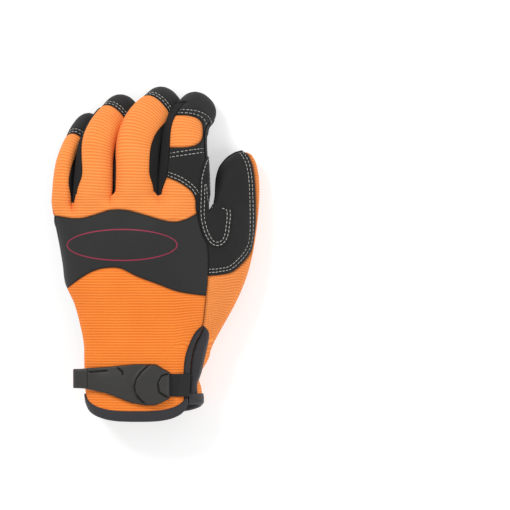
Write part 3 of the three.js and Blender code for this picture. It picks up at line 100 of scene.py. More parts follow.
def softPower(x):
    return np.sign(x) * np.abs(x) ** (2 / glove["roundness"])


def unit(v):
    return v / np.maximum(np.linalg.norm(v, axis=-1, keepdims=True), 1e-9)


def readRows(table, where):
    # a smooth curve through a table's rows, read at row numbers
    where = np.asarray(where, float)
    i = np.clip(np.floor(where).astype(int), 0, len(table) - 2)
    t = (where - i)[..., None]
    a, b, c, d = (table[np.clip(i + k, 0, len(table) - 1)] for k in (-1, 0, 1, 2))
    return b + 0.5 * t * (c - a + t * (2 * a - 5 * b + 4 * c - d + t * (3 * (b - c) + d - a)))


def edgesOf(tris):
    return np.vstack([tris[:, [0, 1]], tris[:, [1, 2]], tris[:, [2, 0]]])


def halves(quads):
    return np.vstack([quads[:, [0, 1, 2]], quads[:, [0, 2, 3]]])


def reachAlong(points):
    return np.concatenate([[0], np.cumsum(np.linalg.norm(np.diff(points, axis=0), axis=1))])


def awayFrom(points, line, closed=False):
    # distances from a line of straight pieces
    best = np.full(len(points), 1e9)
    for a, b in zip(line, np.roll(line, -1, axis=0) if closed else line[1:]):
        way = b - a
        t = np.clip((points - a) @ way / max(way @ way, 1e-9), 0, 1)
        best = np.minimum(best, np.hypot(*(points - a - t[:, None] * way).T))
    return best


def bodyPoint(across, level, along):
    across, level, along = np.broadcast_arrays(np.asarray(across, float), level, along)
    places = bodyTable[:, 0]
    i = np.clip(np.searchsorted(places[1:-1], along), 0, len(places) - 2)
    row = readRows(bodyTable, i + (along - places[i]) / (places[i + 1] - places[i]))
    left, right, rise, drop, lift = (row[..., k] for k in range(1, 6))
    middle = 0.5 * (left + right) * palmWidth
    half = 0.5 * (right - left) * palmWidth
    x = middle + across * half
    hemEnd = np.where(level > 0, glove["slitAcross"] * palmWidth, middle + half)
    hemMiddle = 0.5 * (middle - half + hemEnd)
    around = np.minimum(1, np.abs((x - hemMiddle) / (hemEnd - hemMiddle)))
    hang = np.where(level > 0, glove["hemBow"], glove["palmBow"]) * np.sqrt(1 - around ** 3)
    bow = hang * np.minimum(1, np.abs(level) * 3) * (1 - softStep(0.05, 0.5, along))
    side = lift * handDepth + across * glove["sideTilt"] * softStep(0.4, 1, along)
    height = np.where(level > 0, rise, drop) * handDepth * level
    return np.stack([x, along * bodyLength - bow, side + height], -1)


def makeFingerLine(finger, steps=60):
    place = np.zeros(3)
    line = []
    for i in range(steps + 1):
        u = i / steps
        yaw = math.radians(finger["yaw"] + finger["lean"] * softStep(finger["start"], finger["end"], u))
        rise = glove["fingerRise"]
        pitch = math.radians(rise - (rise + finger["curl"]) * softStep(-0.1, 1.1, u))
        ahead = np.array([math.sin(yaw) * math.cos(pitch), math.cos(yaw) * math.cos(pitch),
            math.sin(pitch)])
        side = np.array([math.cos(yaw), -math.sin(yaw), 0.0])
        line.append(np.concatenate([place, side, np.cross(side, ahead)]))
        place = place + ahead * finger["length"] / steps
    return np.array(line)


def fingerStations(finger):
    straight = finger["length"] - glove["domeLength"]
    dome = [math.sin(0.5 * math.pi * i / (mesh["domeSteps"] + 0.55))
        for i in range(1, mesh["domeSteps"] + 1)]
    return list(straight * np.arange(mesh["fingerSteps"] + 1) / mesh["fingerSteps"]) + \
        [straight + glove["domeLength"] * d for d in dome]


# where along a finger, as shares of its length, its width, depth and back change
taper = {"mid": (0, 0.5), "tip": (0.5, 0.85), "depth": (0.3, 1), "tipDepth": 0.84, "back": (-0.3, 0.4)}


def fingerRing(finger, line, s, root, angle):
    u = s / finger["length"]
    k = min(len(line) - 1, u * (len(line) - 1))
    i = min(len(line) - 2, int(k))
    row = mix(line[i], line[i + 1], k - i)
    side, up = unit(row[3:6]), unit(row[6:9])
    dome = bulge(max(0, (s - (finger["length"] - glove["domeLength"])) / glove["domeLength"]))
    girth = mix(finger["width"], finger["mid"], softStep(*taper["mid"], u))
    girth = mix(girth, finger["tip"], softStep(*taper["tip"], u))
    deep = 0.5 * finger["depth"] * mix(1, taper["tipDepth"], softStep(*taper["depth"], u)) * dome
    across, level = softPower(np.cos(angle)), softPower(np.sin(angle))
    narrower = 1 - glove["backTaper"] * np.maximum(0, level) * softStep(*taper["back"], u)
    half = 0.5 * girth * dome
    return row[:3] + root + (across * half * narrower)[..., None] * side + \
        (level * deep)[..., None] * up


def thumbPoint(row, share, level):
    x = mix(row[..., 3], row[..., 0], share) * palmWidth
    y = mix(row[..., 4], row[..., 1], share) * bodyLength
    z = mix(row[..., 5], row[..., 2], share) * handDepth
    return np.stack(np.broadcast_arrays(x, y, z + level * row[..., 6] * handDepth), -1)


# the skin: points with marks that the seams are measured from, in columns after place and normal
markNames = ["face", "back", "palm", "s", "finger", "side", "hem", "thumb", "u", "v"]
markPlace = {name: 6 + i for i, name in enumerate(markNames)}
parts = {"body": 0, "web0": 1, "web1": 2, "web2": 3, "finger0": 4, "finger1": 5, "finger2": 6,
    "finger3": 7, "thumb": 8}
far = 12.0  # distances from a seam aren't told apart beyond this
outside = -9.0  # the mark of a point that a panel doesn't reach
pointRows, skinFaces, faceParts = [], [], []
pointCount = 0


def addPoints(points, **marks):
    global pointCount
    points = np.atleast_2d(points)
    rows = np.zeros((len(points), 6 + len(markNames)))
    rows[:, :3] = points
    plain = dict(back=outside, palm=outside, finger=-1, v=points[:, 1], u=points[:, 0])
    for name, value in dict(plain, **marks).items():
        rows[:, markPlace[name]] = value
    pointRows.append(rows)
    pointCount += len(points)
    return np.arange(pointCount - len(points), pointCount)


def allRows():
    if len(pointRows) > 1:
        pointRows[:] = [np.vstack(pointRows)]
    return pointRows[0]


def strip(part, a, b):
    a, b = np.asarray(a), np.asarray(b)
    quads = np.stack([a[:-1], a[1:], b[1:], b[:-1]], 1)
    tris = halves(quads)
    tris = tris[(tris[:, 0] != tris[:, 1]) & (tris[:, 1] != tris[:, 2]) & (tris[:, 0] != tris[:, 2])]
    skinFaces.append(tris)
    faceParts.append(np.full(len(tris), parts[part]))


def fan(part, loop, pole):
    strip(part, loop, np.full(len(loop), pole))


corner = math.radians(glove["cornerAngle"])
cells, sideCells = mesh["backCells"], mesh["sideCells"]
backAngles = np.linspace(math.pi - corner, corner, cells + 1)
sideAngles = np.linspace(corner, -corner, sideCells + 1)[1:-1]
sideFace = np.arange(1, sideCells) / sideCells

roots, x = [], -glove["axisShare"] * palmWidth
for finger in fingers:
    roots.append(np.array([x + finger["width"] / 2, finger["root"] * bodyLength, 0.0]))
    x += finger["width"] + glove["webGap"]
fingerLines = [makeFingerLine(f) for f in fingers]
lastFinger = len(fingers) - 1
for f, finger in enumerate(fingers):  # each fingertip rests on the floor
    low = min(
        fingerRing(finger, fingerLines[f], s, roots[f], np.radians([-90.0, -60, -120]))[:, 2].min()
        for s in fingerStations(finger))
    roots[f][2] = (glove["tipPatchThick"] if f == lastFinger else 0) - glove["restDent"] - low

fingerRings = []
for f, finger in enumerate(fingers):
    rings = []
    arc = finger["depth"] * softPower(math.sin(corner))
    steps = np.arange(cells + 1)
    fromEdge = np.minimum(steps, cells - steps) * finger["width"] / cells
    sideMark = 2 * steps / cells - 1
    outerWrap = np.zeros(cells + 1)
    if f == 0:
        outerWrap = np.where(steps < cells / 2, (1 - glove["knitWrapPinky"]) * arc, 0)
    if f == lastFinger:
        outerWrap = np.where(steps > cells / 2, (1 - glove["knitWrapIndex"]) * arc, 0)
    for s in fingerStations(finger):
        upper = softStep(12, 48, s)
        wrapSides = {1: mix(finger["knitRight"], finger["tipRight"], upper),
                     -1: mix(finger["knitLeft"], finger["tipLeft"], upper)}
        wraps = np.where(steps < cells / 2, wrapSides[-1], wrapSides[1])
        turned = wraps * arc * np.where(wraps < 0, softStep(0, glove["webTaper"], s), 1)
        across = 0.5 * finger["width"] * sideMark
        shared = dict(s=s - finger["length"], finger=f, v=roots[f][1] + s)
        ring = lambda angle: fingerRing(finger, fingerLines[f], s, roots[f], angle)
        made = {
            "back": addPoints(ring(backAngles), face=0, side=sideMark, back=fromEdge + turned,
            palm=-arc, u=roots[f][0] + across, **shared),
            "palm": addPoints(ring(-backAngles), face=1, side=sideMark, back=-arc,
            palm=fromEdge + outerWrap, u=roots[f][0] + across, **shared)}
        for key, sign, outer in (("right", 1, f == lastFinger), ("left", -1, f == 0)):
            wrap = wrapSides[sign]
            low = (sideFace - wrap) * arc if outer else -(1 - sideFace) * arc
            angles = sideAngles if sign > 0 else math.pi - sideAngles
            made[key] = addPoints(ring(angles), face=sideFace, side=sign, back=(wrap - sideFace) * arc,
                palm=low, u=roots[f][0] + sign * (0.5 * finger["width"] + sideFace * arc), **shared)
        rings.append(made)
    fingerRings.append(rings)

saddles = []
for w, along in enumerate(webAlong):
    a, b = fingerRings[w][0], fingerRings[w + 1][0]
    left = np.concatenate([a["back"][-1:], a["right"], a["palm"][-1:]])
    right = np.concatenate([b["back"][:1], b["left"], b["palm"][:1]])
    rows = allRows()
    middle = 0.5 * (rows[left, :3] + rows[right, :3])
    middle[:, 1] = along * bodyLength
    saddles.append(addPoints(middle, face=np.arange(sideCells + 1) / sideCells,
                             back=rows[left, markPlace["back"]], palm=rows[left, markPlace["palm"]]))


def rootRow(key, end):
    row = []
    for f, rings in enumerate(fingerRings):
        row.append(rings[0][key])
        if f < len(saddles):
            row.append(saddles[f][end:end + 1] if end == 0 else saddles[f][-1:])
    return np.concatenate(row)


backRoot, palmRoot = rootRow("back", 0), rootRow("palm", -1)
rootPoints = allRows().copy()
edgeLeft = rootPoints[fingerRings[0][0]["left"][0], 0]
edgeRight = rootPoints[fingerRings[lastFinger][0]["right"][0], 0]
shareAcross = lambda v: 2 * (rootPoints[v, 0] - edgeLeft) / (edgeRight - edgeLeft) - 1
cornerShare = shareAcross(backRoot[-1])
bodySteps, thumbFirst, thumbLast = mesh["bodySteps"], mesh["thumbFirst"], mesh["thumbLast"]
firstAlong, thumbStart, thumbEnd = bodyTable[0, 0], thumbTable[0, 4], thumbTable[0, 1]
thumbShare = lambda r: 0.5 - 0.5 * math.cos(math.pi * (r - thumbFirst) / (thumbLast - thumbFirst))


def bodyColumn(across, level, r):
    left = mix(firstAlong, 1, r / bodySteps)
    if r <= thumbFirst:
        right = mix(firstAlong, thumbStart, r / thumbFirst)
    elif r >= thumbLast:
        right = mix(thumbEnd, 1, (r - thumbLast) / (bodySteps - thumbLast))
    else:
        right = mix(thumbStart, thumbEnd, thumbShare(r))
    return bodyPoint(across, level, mix(left, right, softStep(-1.1, 1.1, across)))


openEdge = 8.0  # a cloth's mark at the thumb's opening, which isn't a seam
# where along the hand it takes up the shapes of the fingers
knuckles = {"from": (0.55, 1), "power": 1.5, "sharp": (0.9, 1)}


def bodyRow(r):
    fade = softStep(*knuckles["from"], r / bodySteps) ** knuckles["power"]
    isOpen = thumbFirst < r < thumbLast
    made = {}
    for key, up, root in (("back", 1, backRoot), ("palm", -1, palmRoot)):
        across = shareAcross(root)
        level = up * bulge(across)
        p = bodyColumn(across, level, r)
        offset = rootPoints[root, :3] - bodyColumn(across, level, bodySteps)
        blur = np.pad(offset, ((cells, cells), (0, 0)), "edge")
        blur = np.stack([np.convolve(q, np.ones(2 * cells + 1) / (2 * cells + 1), "valid")
            for q in blur.T], 1)
        p += fade * mix(blur, offset, softStep(*knuckles["sharp"], r / bodySteps))
        if isOpen:
            t = thumbShare(r)
            swell = math.hypot(0.35, math.sin(math.pi * t))
            pull = thumbPoint(thumbTable[0], t, up * swell) - \
                bodyColumn(cornerShare, up * bulge(cornerShare), r)
            p += softStep(0.25, cornerShare, across)[:, None] * pull
        width = np.abs(p[-1, 0] - p[0, 0])
        fromLeft = 0.5 * (across - across[0]) * width
        fromRight = 0.5 * (across[-1] - across) * width
        edges = rootPoints[root[[0, -1]], markPlace[key]]
        depth = np.minimum(edges[0] + fromLeft, (openEdge if isOpen else edges[1]) + fromRight)
        marks = {key: np.minimum(depth, far), "back" if key == "palm" else "palm": -openEdge}
        made[key] = addPoints(p, face=0 if up > 0 else 1, **marks)
    level = 1 - 2 * sideFace
    for key, sign, root in (("left", -1, fingerRings[0][0]["left"]),
            ("right", 1, fingerRings[lastFinger][0]["right"])):
        if sign > 0 and isOpen:
            made[key] = None
            continue
        across = sign * (1 - np.abs(level) * (1 - cornerShare))
        p = bodyColumn(across, level * bulge(cornerShare), r)
        p += fade * (rootPoints[root, :3] - bodyColumn(across, level * bulge(cornerShare), bodySteps))
        made[key] = addPoints(p, face=sideFace, back=rootPoints[root, markPlace["back"]],
                              palm=rootPoints[root, markPlace["palm"]],
                              u=p[:, 0] + sign * sideFace * 0.4 * handDepth)
    return made


bodyRings = [bodyRow(r) for r in range(bodySteps)]
rows = allRows()
for key in ("back", "right", "palm", "left"):
    for r in range(1, bodySteps):
        here, below = bodyRings[r][key], bodyRings[r - 1][key]
        if here is None:
            continue
        if below is None:
            rows[here, markPlace["hem"]] = bodyLength
        else:
            step = np.linalg.norm(rows[here, :3] - rows[below, :3], axis=1)
            rows[here, markPlace["hem"]] = rows[below, markPlace["hem"]] + step
bodyRings.append({"back": backRoot, "right": fingerRings[lastFinger][0]["right"], "palm": palmRoot,
                  "left": fingerRings[0][0]["left"]})
join = lambda *lists: np.concatenate([np.atleast_1d(q) for q in lists])
for r in range(bodySteps):
    low, high = bodyRings[r], bodyRings[r + 1]
    strip("body", low["back"], high["back"])
    strip("body", high["palm"], low["palm"])
    leftOf = lambda q: join(q["palm"][0], q["left"][::-1], q["back"][0])
    strip("body", leftOf(low), leftOf(high))
    if low["right"] is not None and high["right"] is not None and (r < thumbFirst or r >= thumbLast):
        rightOf = lambda q: join(q["back"][-1], q["right"], q["palm"][-1])
        strip("body", rightOf(low), rightOf(high))
for f, rings in enumerate(fingerRings):
    loopOf = lambda q: join(q["back"], q["right"], q["palm"][::-1], q["left"][::-1], q["back"][0])
    for a, b in zip(rings[:-1], rings[1:]):
        strip("finger%d" % f, loopOf(a), loopOf(b))
    tip = fingerRing(fingers[f], fingerLines[f], fingers[f]["length"], roots[f], np.array(0.0))
    pole = addPoints(tip, face=0.5, s=0, finger=f, v=roots[f][1] + fingers[f]["length"])[0]
    fan("finger%d" % f, loopOf(rings[-1]), pole)
for w, saddle in enumerate(saddles):
    a, b = fingerRings[w][0], fingerRings[w + 1][0]
    strip("web%d" % w, join(a["back"][-1], a["right"], a["palm"][-1])[::-1], saddle[::-1])
    strip("web%d" % w, saddle[::-1], join(b["back"][0], b["left"], b["palm"][0])[::-1])

# the thumb grows out of the opening in the palm's side
openRows = range(thumbFirst, thumbLast + 1)
thumbRings = [{
    "back": np.array([bodyRings[r]["back"][-1] for r in openRows]),
    "inner": bodyRings[thumbLast]["right"],
    "palm": np.array([bodyRings[r]["palm"][-1] for r in openRows]),
    "outer": bodyRings[thumbFirst]["right"]}]
cornerGap = 0.5 - 0.5 * softPower(math.cos(corner))
ringShares = cornerGap + (1 - 2 * cornerGap) * \
    (0.5 - 0.5 * np.cos(np.pi * np.arange(len(openRows)) / (len(openRows) - 1)))
ringLevels = bulge(2 * ringShares - 1)
first = {key: allRows()[index, :3] for key, index in thumbRings[0].items()}
for k in range(1, mesh["thumbSteps"] + 1):
    u = (k / mesh["thumbSteps"]) ** 0.92
    row, row0 = readRows(thumbTable, u * (len(thumbTable) - 1)), thumbTable[0]
    keep = 1 - softStep(0, 0.45, u)

    def place(key, share, level):
        return thumbPoint(row, share, level) + keep * (first[key] - thumbPoint(row0, share, level))

    back, palm = place("back", ringShares, ringLevels), place("palm", ringShares, -ringLevels)
    sideLevel = (1 - 2 * sideFace) * bulge(2 * cornerGap - 1)
    ring = {}
    for key, p, sign in (("back", back, 1), ("palm", palm, -1)):
        arc = np.linalg.norm(back[[0, -1]] - palm[[0, -1]], axis=1)
        inner = np.minimum(np.linalg.norm(p - p[0], axis=1) + 0.5 * arc[0],
                           np.linalg.norm(p - p[-1], axis=1) + 0.5 * arc[1])
        inner = np.minimum(inner, far)
        ring[key] = addPoints(p, face=0 if sign > 0 else 1, thumb=1, back=sign * inner,
            palm=-sign * inner, u=p[:, 0] + p[:, 2])
    for key, share, arcLength in (("inner", 1.0, arc[1]), ("outer", 0.0, arc[0])):
        p = place(key, share, sideLevel)
        ring[key] = addPoints(p, face=sideFace, thumb=1, back=arcLength * (0.5 - sideFace),
                              palm=arcLength * (sideFace - 0.5), u=p[:, 0] + p[:, 2])
    thumbRings.append(ring)
thumbLoop = lambda q: join(q["back"][::-1], q["outer"], q["palm"], q["inner"][::-1], q["back"][-1])
for a, b in zip(thumbRings[:-1], thumbRings[1:]):
    strip("thumb", thumbLoop(a), thumbLoop(b))
pole = addPoints(np.array([thumbTip[0] * palmWidth, thumbTip[1] * bodyLength, thumbTip[2] * handDepth]),
                 face=0.5, thumb=1, back=0, palm=0)[0]
fan("thumb", thumbLoop(thumbRings[-1]), pole)
skin = allRows()
skinTris = np.vstack(skinFaces)
skinParts = np.concatenate(faceParts)

# its own weight flattens what the glove lies on
finger = skin[:, markPlace["finger"]]
floorHeight = np.where(finger < 0, glove["bindingRoom"],
    np.where(finger == lastFinger, glove["tipPatchThick"], 0))
skin[:, 2] = np.maximum(skin[:, 2], floorHeight)


def vertexNormals(points, tris):
    a, b, c = (points[tris[:, k]] for k in range(3))
    cross = np.cross(b - a, c - a)
    normals = np.zeros_like(points)
    for k in range(3):
        np.add.at(normals, tris[:, k], cross)
    return unit(normals)


def relax(points, tris, weight, rounds):
    # evens out a region of the skin, where the thumb grows out of the hand
    edges, count = edgesOf(tris), len(points)
    degree = np.maximum(1, np.bincount(edges[:, 0], minlength=count))
    for _ in range(rounds):
        around = [np.bincount(edges[:, 0], q[edges[:, 1]], minlength=count) / degree for q in points.T]
        points += 0.5 * weight[:, None] * (np.stack(around, 1) - points)


def cloud(points, size, seed):
    # smooth noise from -1 to 1, the same each run
    side, moved = 24, 300  # cells of the lattice, and cells that bring all points above zero
    lattice = np.random.default_rng(seed).random((side, side, side)) * 2 - 1
    q = points / size + moved
    i = np.floor(q).astype(int)
    t = softStep(0, 1, q - i)
    out = 0
    for ahead in itertools.product((0, 1), repeat=3):
        weight = np.where(ahead, t, 1 - t).prod(axis=1)
        out = out + weight * lattice[tuple(((i + ahead) % side).T)]
    return out


# where the thumb's root is evened out: from and to, in millimetres along and across
thumbRoot = {"low": (47, 56), "side": (28, 40), "high": (175, 135), "rounds": 60}
relaxing = softStep(*thumbRoot["low"], skin[:, 1]) * softStep(*thumbRoot["side"], skin[:, 0]) * \
    softStep(*thumbRoot["high"], skin[:, 1]) * (finger < 0)
relax(skin[:, :3], skinTris, relaxing, thumbRoot["rounds"])

# soft unevenness of the cloth
drape = {"slow": 24.0, "slowDepth": 0.45, "fine": 9.0, "fineDepth": 0.16}
skin[:, 3:6] = vertexNormals(skin[:, :3], skinTris)
wave = drape["slowDepth"] * cloud(skin[:, :3], drape["slow"], 3)
wave += drape["fineDepth"] * cloud(skin[:, :3], drape["fine"], 5)
wave *= softStep(2, 9, skin[:, 2]) * softStep(-0.1, 0.5, np.abs(skin[:, 5]))
skin[:, :3] += skin[:, 3:6] * wave[:, None]
skin[:, 3:6] = vertexNormals(skin[:, :3], skinTris)
print("skin", len(skin), "points", len(skinTris), "triangles")
mark = {name: skin[:, place] for name, place in markPlace.items()}

# seam lines as points across,along in thousandths of the palm's width and of the body's length
seams = {
    "bandTop": "-515,928 -359,917 -248,935 -147,957 -46,954 55,935 196,906 277,903 363,925 "
        "439,964",
    "bandBottom": "-430,603 -329,654 -248,683 -167,694 -87,690 15,654 135,622 277,585 448,567",
    "knitEdge": "337,93 349,229 364,302 386,357 429,428 453,569 464,657 461,791 429,848 403,921 "
        "388,959 385,1000 356,1041 277,1081 176,1109 91,1131",
    "thumbBack": "464,657 546,662 620,675 692,719 741,766 765,818 771,905 765,1068 749,1158 "
        "717,1213 686,1245",
    "thumbPalm": "175,90 164,247 170,271 315,401 442,517 525,610 620,755 645,821 688,930 708,995 "
        "722,1081 720,1145 690,1230",
    "leatherEnd": "-389,300 -342,271 -237,249 -80,243 154,249",
    "thumbCrease": "420,930 463,920 641,845 720,810",
    "leafLeft": "445,440 401,419 364,383 320,302 306,217 308,107",
    "leafRight": "420,440 462,410 465,374 444,302 415,217 390,160 400,100",
}
outlines = {
    "saddleBack": "451,1200 411,1109 404,1009 403,921 429,848 469,800 515,785 562,796 592,828 "
        "606,882 612,940 600,975 540,985 490,995 478,1080 478,1190",
    "saddlePalm": "451,1190 385,1145 345,1070 365,990 410,935 470,900 520,935 490,980 478,1080 "
        "478,1180",
    "knucklePad": "-492,925 -460,888 -394,874 -330,866 -270,862 -200,859 -75,857 70,857 200,857 "
        "260,858 320,862 350,885 350,955 310,1020 260,1035 200,1020 135,970 70,1035 -4,1055 "
        "-75,1035 -147,985 -200,1030 -270,1045 -330,1020 -394,950 -460,990 -492,955",
    "heelPad": "300,742 235,720 140,690 30,656 -70,621 -120,585 -155,545 -175,499 -180,445 "
        "-185,395 -205,370 -265,385 -305,450 -345,550 -395,660 -415,780 -280,808 -130,806 30,813 "
        "150,810 250,795 303,765",
    "thenarPad": "345,672 345,640 318,589 280,530 238,475 175,415 95,362 20,340 -70,344 -140,375 "
        "-155,430 -115,499 -32,565 72,621 225,676 322,690",
}
floorScale = np.array([palmWidth, bodyLength])


def readLine(text):
    return np.array([pair.split(",") for pair in text.split()], float) / 1000 * floorScale




lineSteps = {"open": 4, "closed": 6}  # straight pieces for each stretch of a table


def besideLine(text):
    # signed distance from a smooth line, positive on the right of somebody who walks along it
    table = readLine(text)
    line = readRows(table, np.linspace(0, len(table) - 1, lineSteps["open"] * (len(table) - 1) + 1))
    p = skin[:, :2]
    best = np.full(len(p), 1e9)
    signed = np.zeros(len(p))
    for i, (a, b) in enumerate(zip(line[:-1], line[1:])):
        way = b - a
        long = np.hypot(*way)
        t = (p - a) @ way / long ** 2
        t = np.maximum(0, t) if i > 0 else t
        t = np.minimum(1, t) if i < len(line) - 2 else t
        away = np.hypot(*(p - a - t[:, None] * way).T)
        cross = ((p[:, 0] - a[0]) * way[1] - (p[:, 1] - a[1]) * way[0]) / long
        better = (away < best - 1e-6) | ((away < best + 1e-6) & (np.abs(cross) > np.abs(signed)))
        best = np.where(better, away, best)
        signed = np.where(better, cross, signed)
    return np.sign(signed) * best


def insideLine(text):
    # signed distance from a smooth closed line, positive inside it
    table = readLine(text)
    count = len(table)
    table = np.vstack([table[-2:], table, table[:3]])
    steps = lineSteps["closed"]
    line = readRows(table, 2 + np.arange(count * steps) / steps)
    p = skin[:, :2]
    within = np.zeros(len(p), bool)
    for a, b in zip(line, np.roll(line, -1, axis=0)):
        spans = (a[1] > p[:, 1]) != (b[1] > p[:, 1])
        with np.errstate(divide="ignore", invalid="ignore"):
            within ^= spans & (p[:, 0] < a[0] + (p[:, 1] - a[1]) / (b[1] - a[1]) * (b[0] - a[0]))
    return np.where(within, 1, -1) * awayFrom(p, line, closed=True)


beside = {name: besideLine(text) for name, text in seams.items()}
within = {name: insideLine(text) for name, text in outlines.items()}
onFinger = mark["finger"] >= 0
onIndex = mark["finger"] == lastFinger
thumbSide = np.where(onFinger & ~onIndex, -far, beside["knitEdge"])
palmEdge = np.where(onFinger, -far, beside["thumbPalm"])
caps = np.array([f["cap"] for f in fingers])
belowCap = np.where(
    onFinger, -mark["s"] - caps[np.clip(mark["finger"], 0, lastFinger).astype(int)], far)
indexWindow = {"across": 0.264, "along": 1.313, "halfWidth": 19.6, "halfHeight": 12.0, "power": 3.0}
windowAcross = np.abs(skin[:, 0] - indexWindow["across"] * palmWidth) / indexWindow["halfWidth"]
windowAlong = np.abs(skin[:, 1] - indexWindow["along"] * bodyLength) / indexWindow["halfHeight"]
window = (windowAcross ** indexWindow["power"] +
    windowAlong ** indexWindow["power"]) ** (1 / indexWindow["power"])
window = (1 - window) * indexWindow["halfHeight"]
aboveCrotch = np.where(onIndex, far, np.where(mark["thumb"] > 0, -far,
                                             skin[:, 1] - glove["crotchSeam"] * bodyLength))
slitRoom = glove["slitHalf"] * softStep(glove["slitTop"] + 1, glove["slitTop"] - 10, skin[:, 1])
wrap = mix(beside["thumbBack"], palmEdge, mark["face"])
saddle = mix(within["saddleBack"], within["saddlePalm"], mark["face"])
bindingWidth = 6.5
patchInset = 1.2  # the thumb's patch stays this far inside the leather's edges
# a row of stitches across the index patch
barStart, barEnd = np.array([21.4, 194.5]), np.array([47.2, 198.4])
barWay = unit(barEnd - barStart)
bar = (skin[:, 0] - barStart[0]) * barWay[1] - (skin[:, 1] - barStart[1]) * barWay[0]
tipPatch = {"length": 34, "side": 0.8, "end": 2.5}  # of the index finger's palm side
fields = {
    "bar": bar, "back": mark["back"], "palm": mark["palm"], "notBack": -mark["back"],
    "notPalm": -mark["palm"], "cap": -belowCap, "notCap": belowCap,
    "aboveBand": np.where(onFinger, far, -beside["bandTop"]), "belowBandTop": beside["bandTop"],
    "aboveBandBottom": -beside["bandBottom"], "belowBand": beside["bandBottom"],
    "knitSide": -thumbSide, "thumbSide": thumbSide, "window": window, "notWindow": -window,
    "aboveCrotch": aboveCrotch, "belowCrotch": -aboveCrotch, "insideWrap": -wrap, "wrapB": wrap,
    "wrapA": mix(thumbSide - slitRoom, palmEdge, mark["face"]), "aboveCuff": -beside["leatherEnd"],
    "belowLeather": beside["leatherEnd"], "knitSideSlit": -thumbSide - slitRoom, "saddle": saddle,
    "clearOfSaddle": -saddle - patchInset, "pastCrease": -beside["thumbCrease"],
    "insetLeather": -palmEdge - patchInset, "insetPalm": mark["palm"] - patchInset,
    "indexTip": mark["s"] + tipPatch["length"],
    "awayFromMiddle": (mark["side"] + tipPatch["side"]) * far,
    "indexFront": (mark["face"] - 0.5) * far, "indexEnd": -tipPatch["end"] - mark["s"],
    "slitLeft": -thumbSide - glove["slitHalf"], "slitRight": thumbSide - glove["slitHalf"],
    "leafLeft": -beside["leafLeft"], "leafRight": beside["leafRight"],
    "aboveBinding": mark["hem"] - bindingWidth, "onBack": (0.4 - mark["face"]) * far,
    "onFront": (mark["face"] - 0.6) * far, "knucklePad": within["knucklePad"],
    "heelPad": within["heelPad"], "thenarPad": within["thenarPad"],
}


def splitSheet(sheet, name, level, keepAbove=False, snap=0.05):
    # cuts triangles where a field has a level; a point nearer than snap moves onto the line
    rows, tris = sheet["rows"], sheet["tris"]
    if not len(tris):
        return
    column = sheet["columns"][name]
    value = rows[:, column] - level
    near = np.abs(value) < snap
    rows[near, column] = level
    value[near] = 0
    sign = np.sign(value).astype(int)[tris]
    low, high = sign.min(1), sign.max(1)
    crossing = (low < 0) & (high > 0)
    plain = ~crossing & (high > 0) if keepAbove else ~crossing
    kept = [tris[plain]]
    cut, cutSign = tris[crossing], sign[crossing]
    if len(cut):
        hasZero = (cutSign == 0).any(1)
        total = cutSign.sum(1)
        odd = np.where(hasZero, np.argmax(cutSign == 0, 1),
            np.argmax(cutSign == -np.sign(total)[:, None], 1))
        order = (odd[:, None] + np.arange(3)) % 3
        cut = np.take_along_axis(cut, order, 1)
        cutSign = np.take_along_axis(cutSign, order, 1)
        zero, plainCut = cut[hasZero], cut[~hasZero]
        pairs = np.vstack([zero[:, [1, 2]], plainCut[:, [0, 1]], plainCut[:, [2, 0]]])
        ends = np.sort(pairs, 1)
        keys, inverse = np.unique(ends[:, 0] * len(rows) + ends[:, 1], return_inverse=True)
        inverse = inverse.reshape(-1)
        a, b = keys // len(rows), keys % len(rows)
        t = (value[a] / (value[a] - value[b]))[:, None]
        fresh = mix(rows[a], rows[b], t)
        fresh[:, column] = level
        made = len(rows) + inverse
        sheet["rows"] = np.vstack([rows, fresh])
        n0, n1 = len(zero), len(plainCut)
        m0, m1, m2 = made[:n0], made[n0:n0 + n1], made[n0 + n1:]
        groups = [(np.stack([zero[:, 0], zero[:, 1], m0], 1), cutSign[hasZero][:, 1]),
                  (np.stack([zero[:, 0], m0, zero[:, 2]], 1), cutSign[hasZero][:, 2]),
                  (np.stack([plainCut[:, 0], m1, m2], 1), cutSign[~hasZero][:, 0]),
                  (np.stack([m1, plainCut[:, 1], plainCut[:, 2]], 1), cutSign[~hasZero][:, 1]),
                  (np.stack([m1, plainCut[:, 2], m2], 1), cutSign[~hasZero][:, 1])]
        for group, groupSign in groups:
            kept.append(group[groupSign > 0] if keepAbove else group)
    sheet["tris"] = np.vstack(kept)


def cutSheet(wanted, cuts, extra, flush):
    # the part of the skin where all the cuts' fields are positive, with its depth inside them
    margin = 0.02
    names = list(cuts) + [name for name in extra if name not in cuts]
    values = np.stack([fields[name] for name in names], 1)
    columns = dict(markPlace, **{name: skin.shape[1] + i for i, name in enumerate(names)})
    sheet = {"rows": np.hstack([skin, values]), "tris": skinTris[wanted], "columns": columns}
    for name in cuts:
        splitSheet(sheet, name, margin, keepAbove=True)
    depth = np.min([sheet["rows"][:, columns[name]] - margin for name in cuts if name not in flush] +
                   [np.full(len(sheet["rows"]), far)], 0)
    sheet["rows"] = np.hstack([sheet["rows"], depth[:, None]])
    columns["depth"] = sheet["rows"].shape[1] - 1
    used = np.unique(sheet["tris"])
    renumber = np.zeros(len(sheet["rows"]), int)
    renumber[used] = np.arange(len(used))
    sheet["rows"], sheet["tris"] = sheet["rows"][used], renumber[sheet["tris"]]
    return sheet


def column(sheet, name):
    return sheet["rows"][:, sheet["columns"][name]]


def onParts(*names):
    # which triangles lie on these parts, whose number may be left out
    wanted = [code for name, code in parts.items() if name in names or name.rstrip("0123") in names]
    return np.isin(skinParts, wanted)


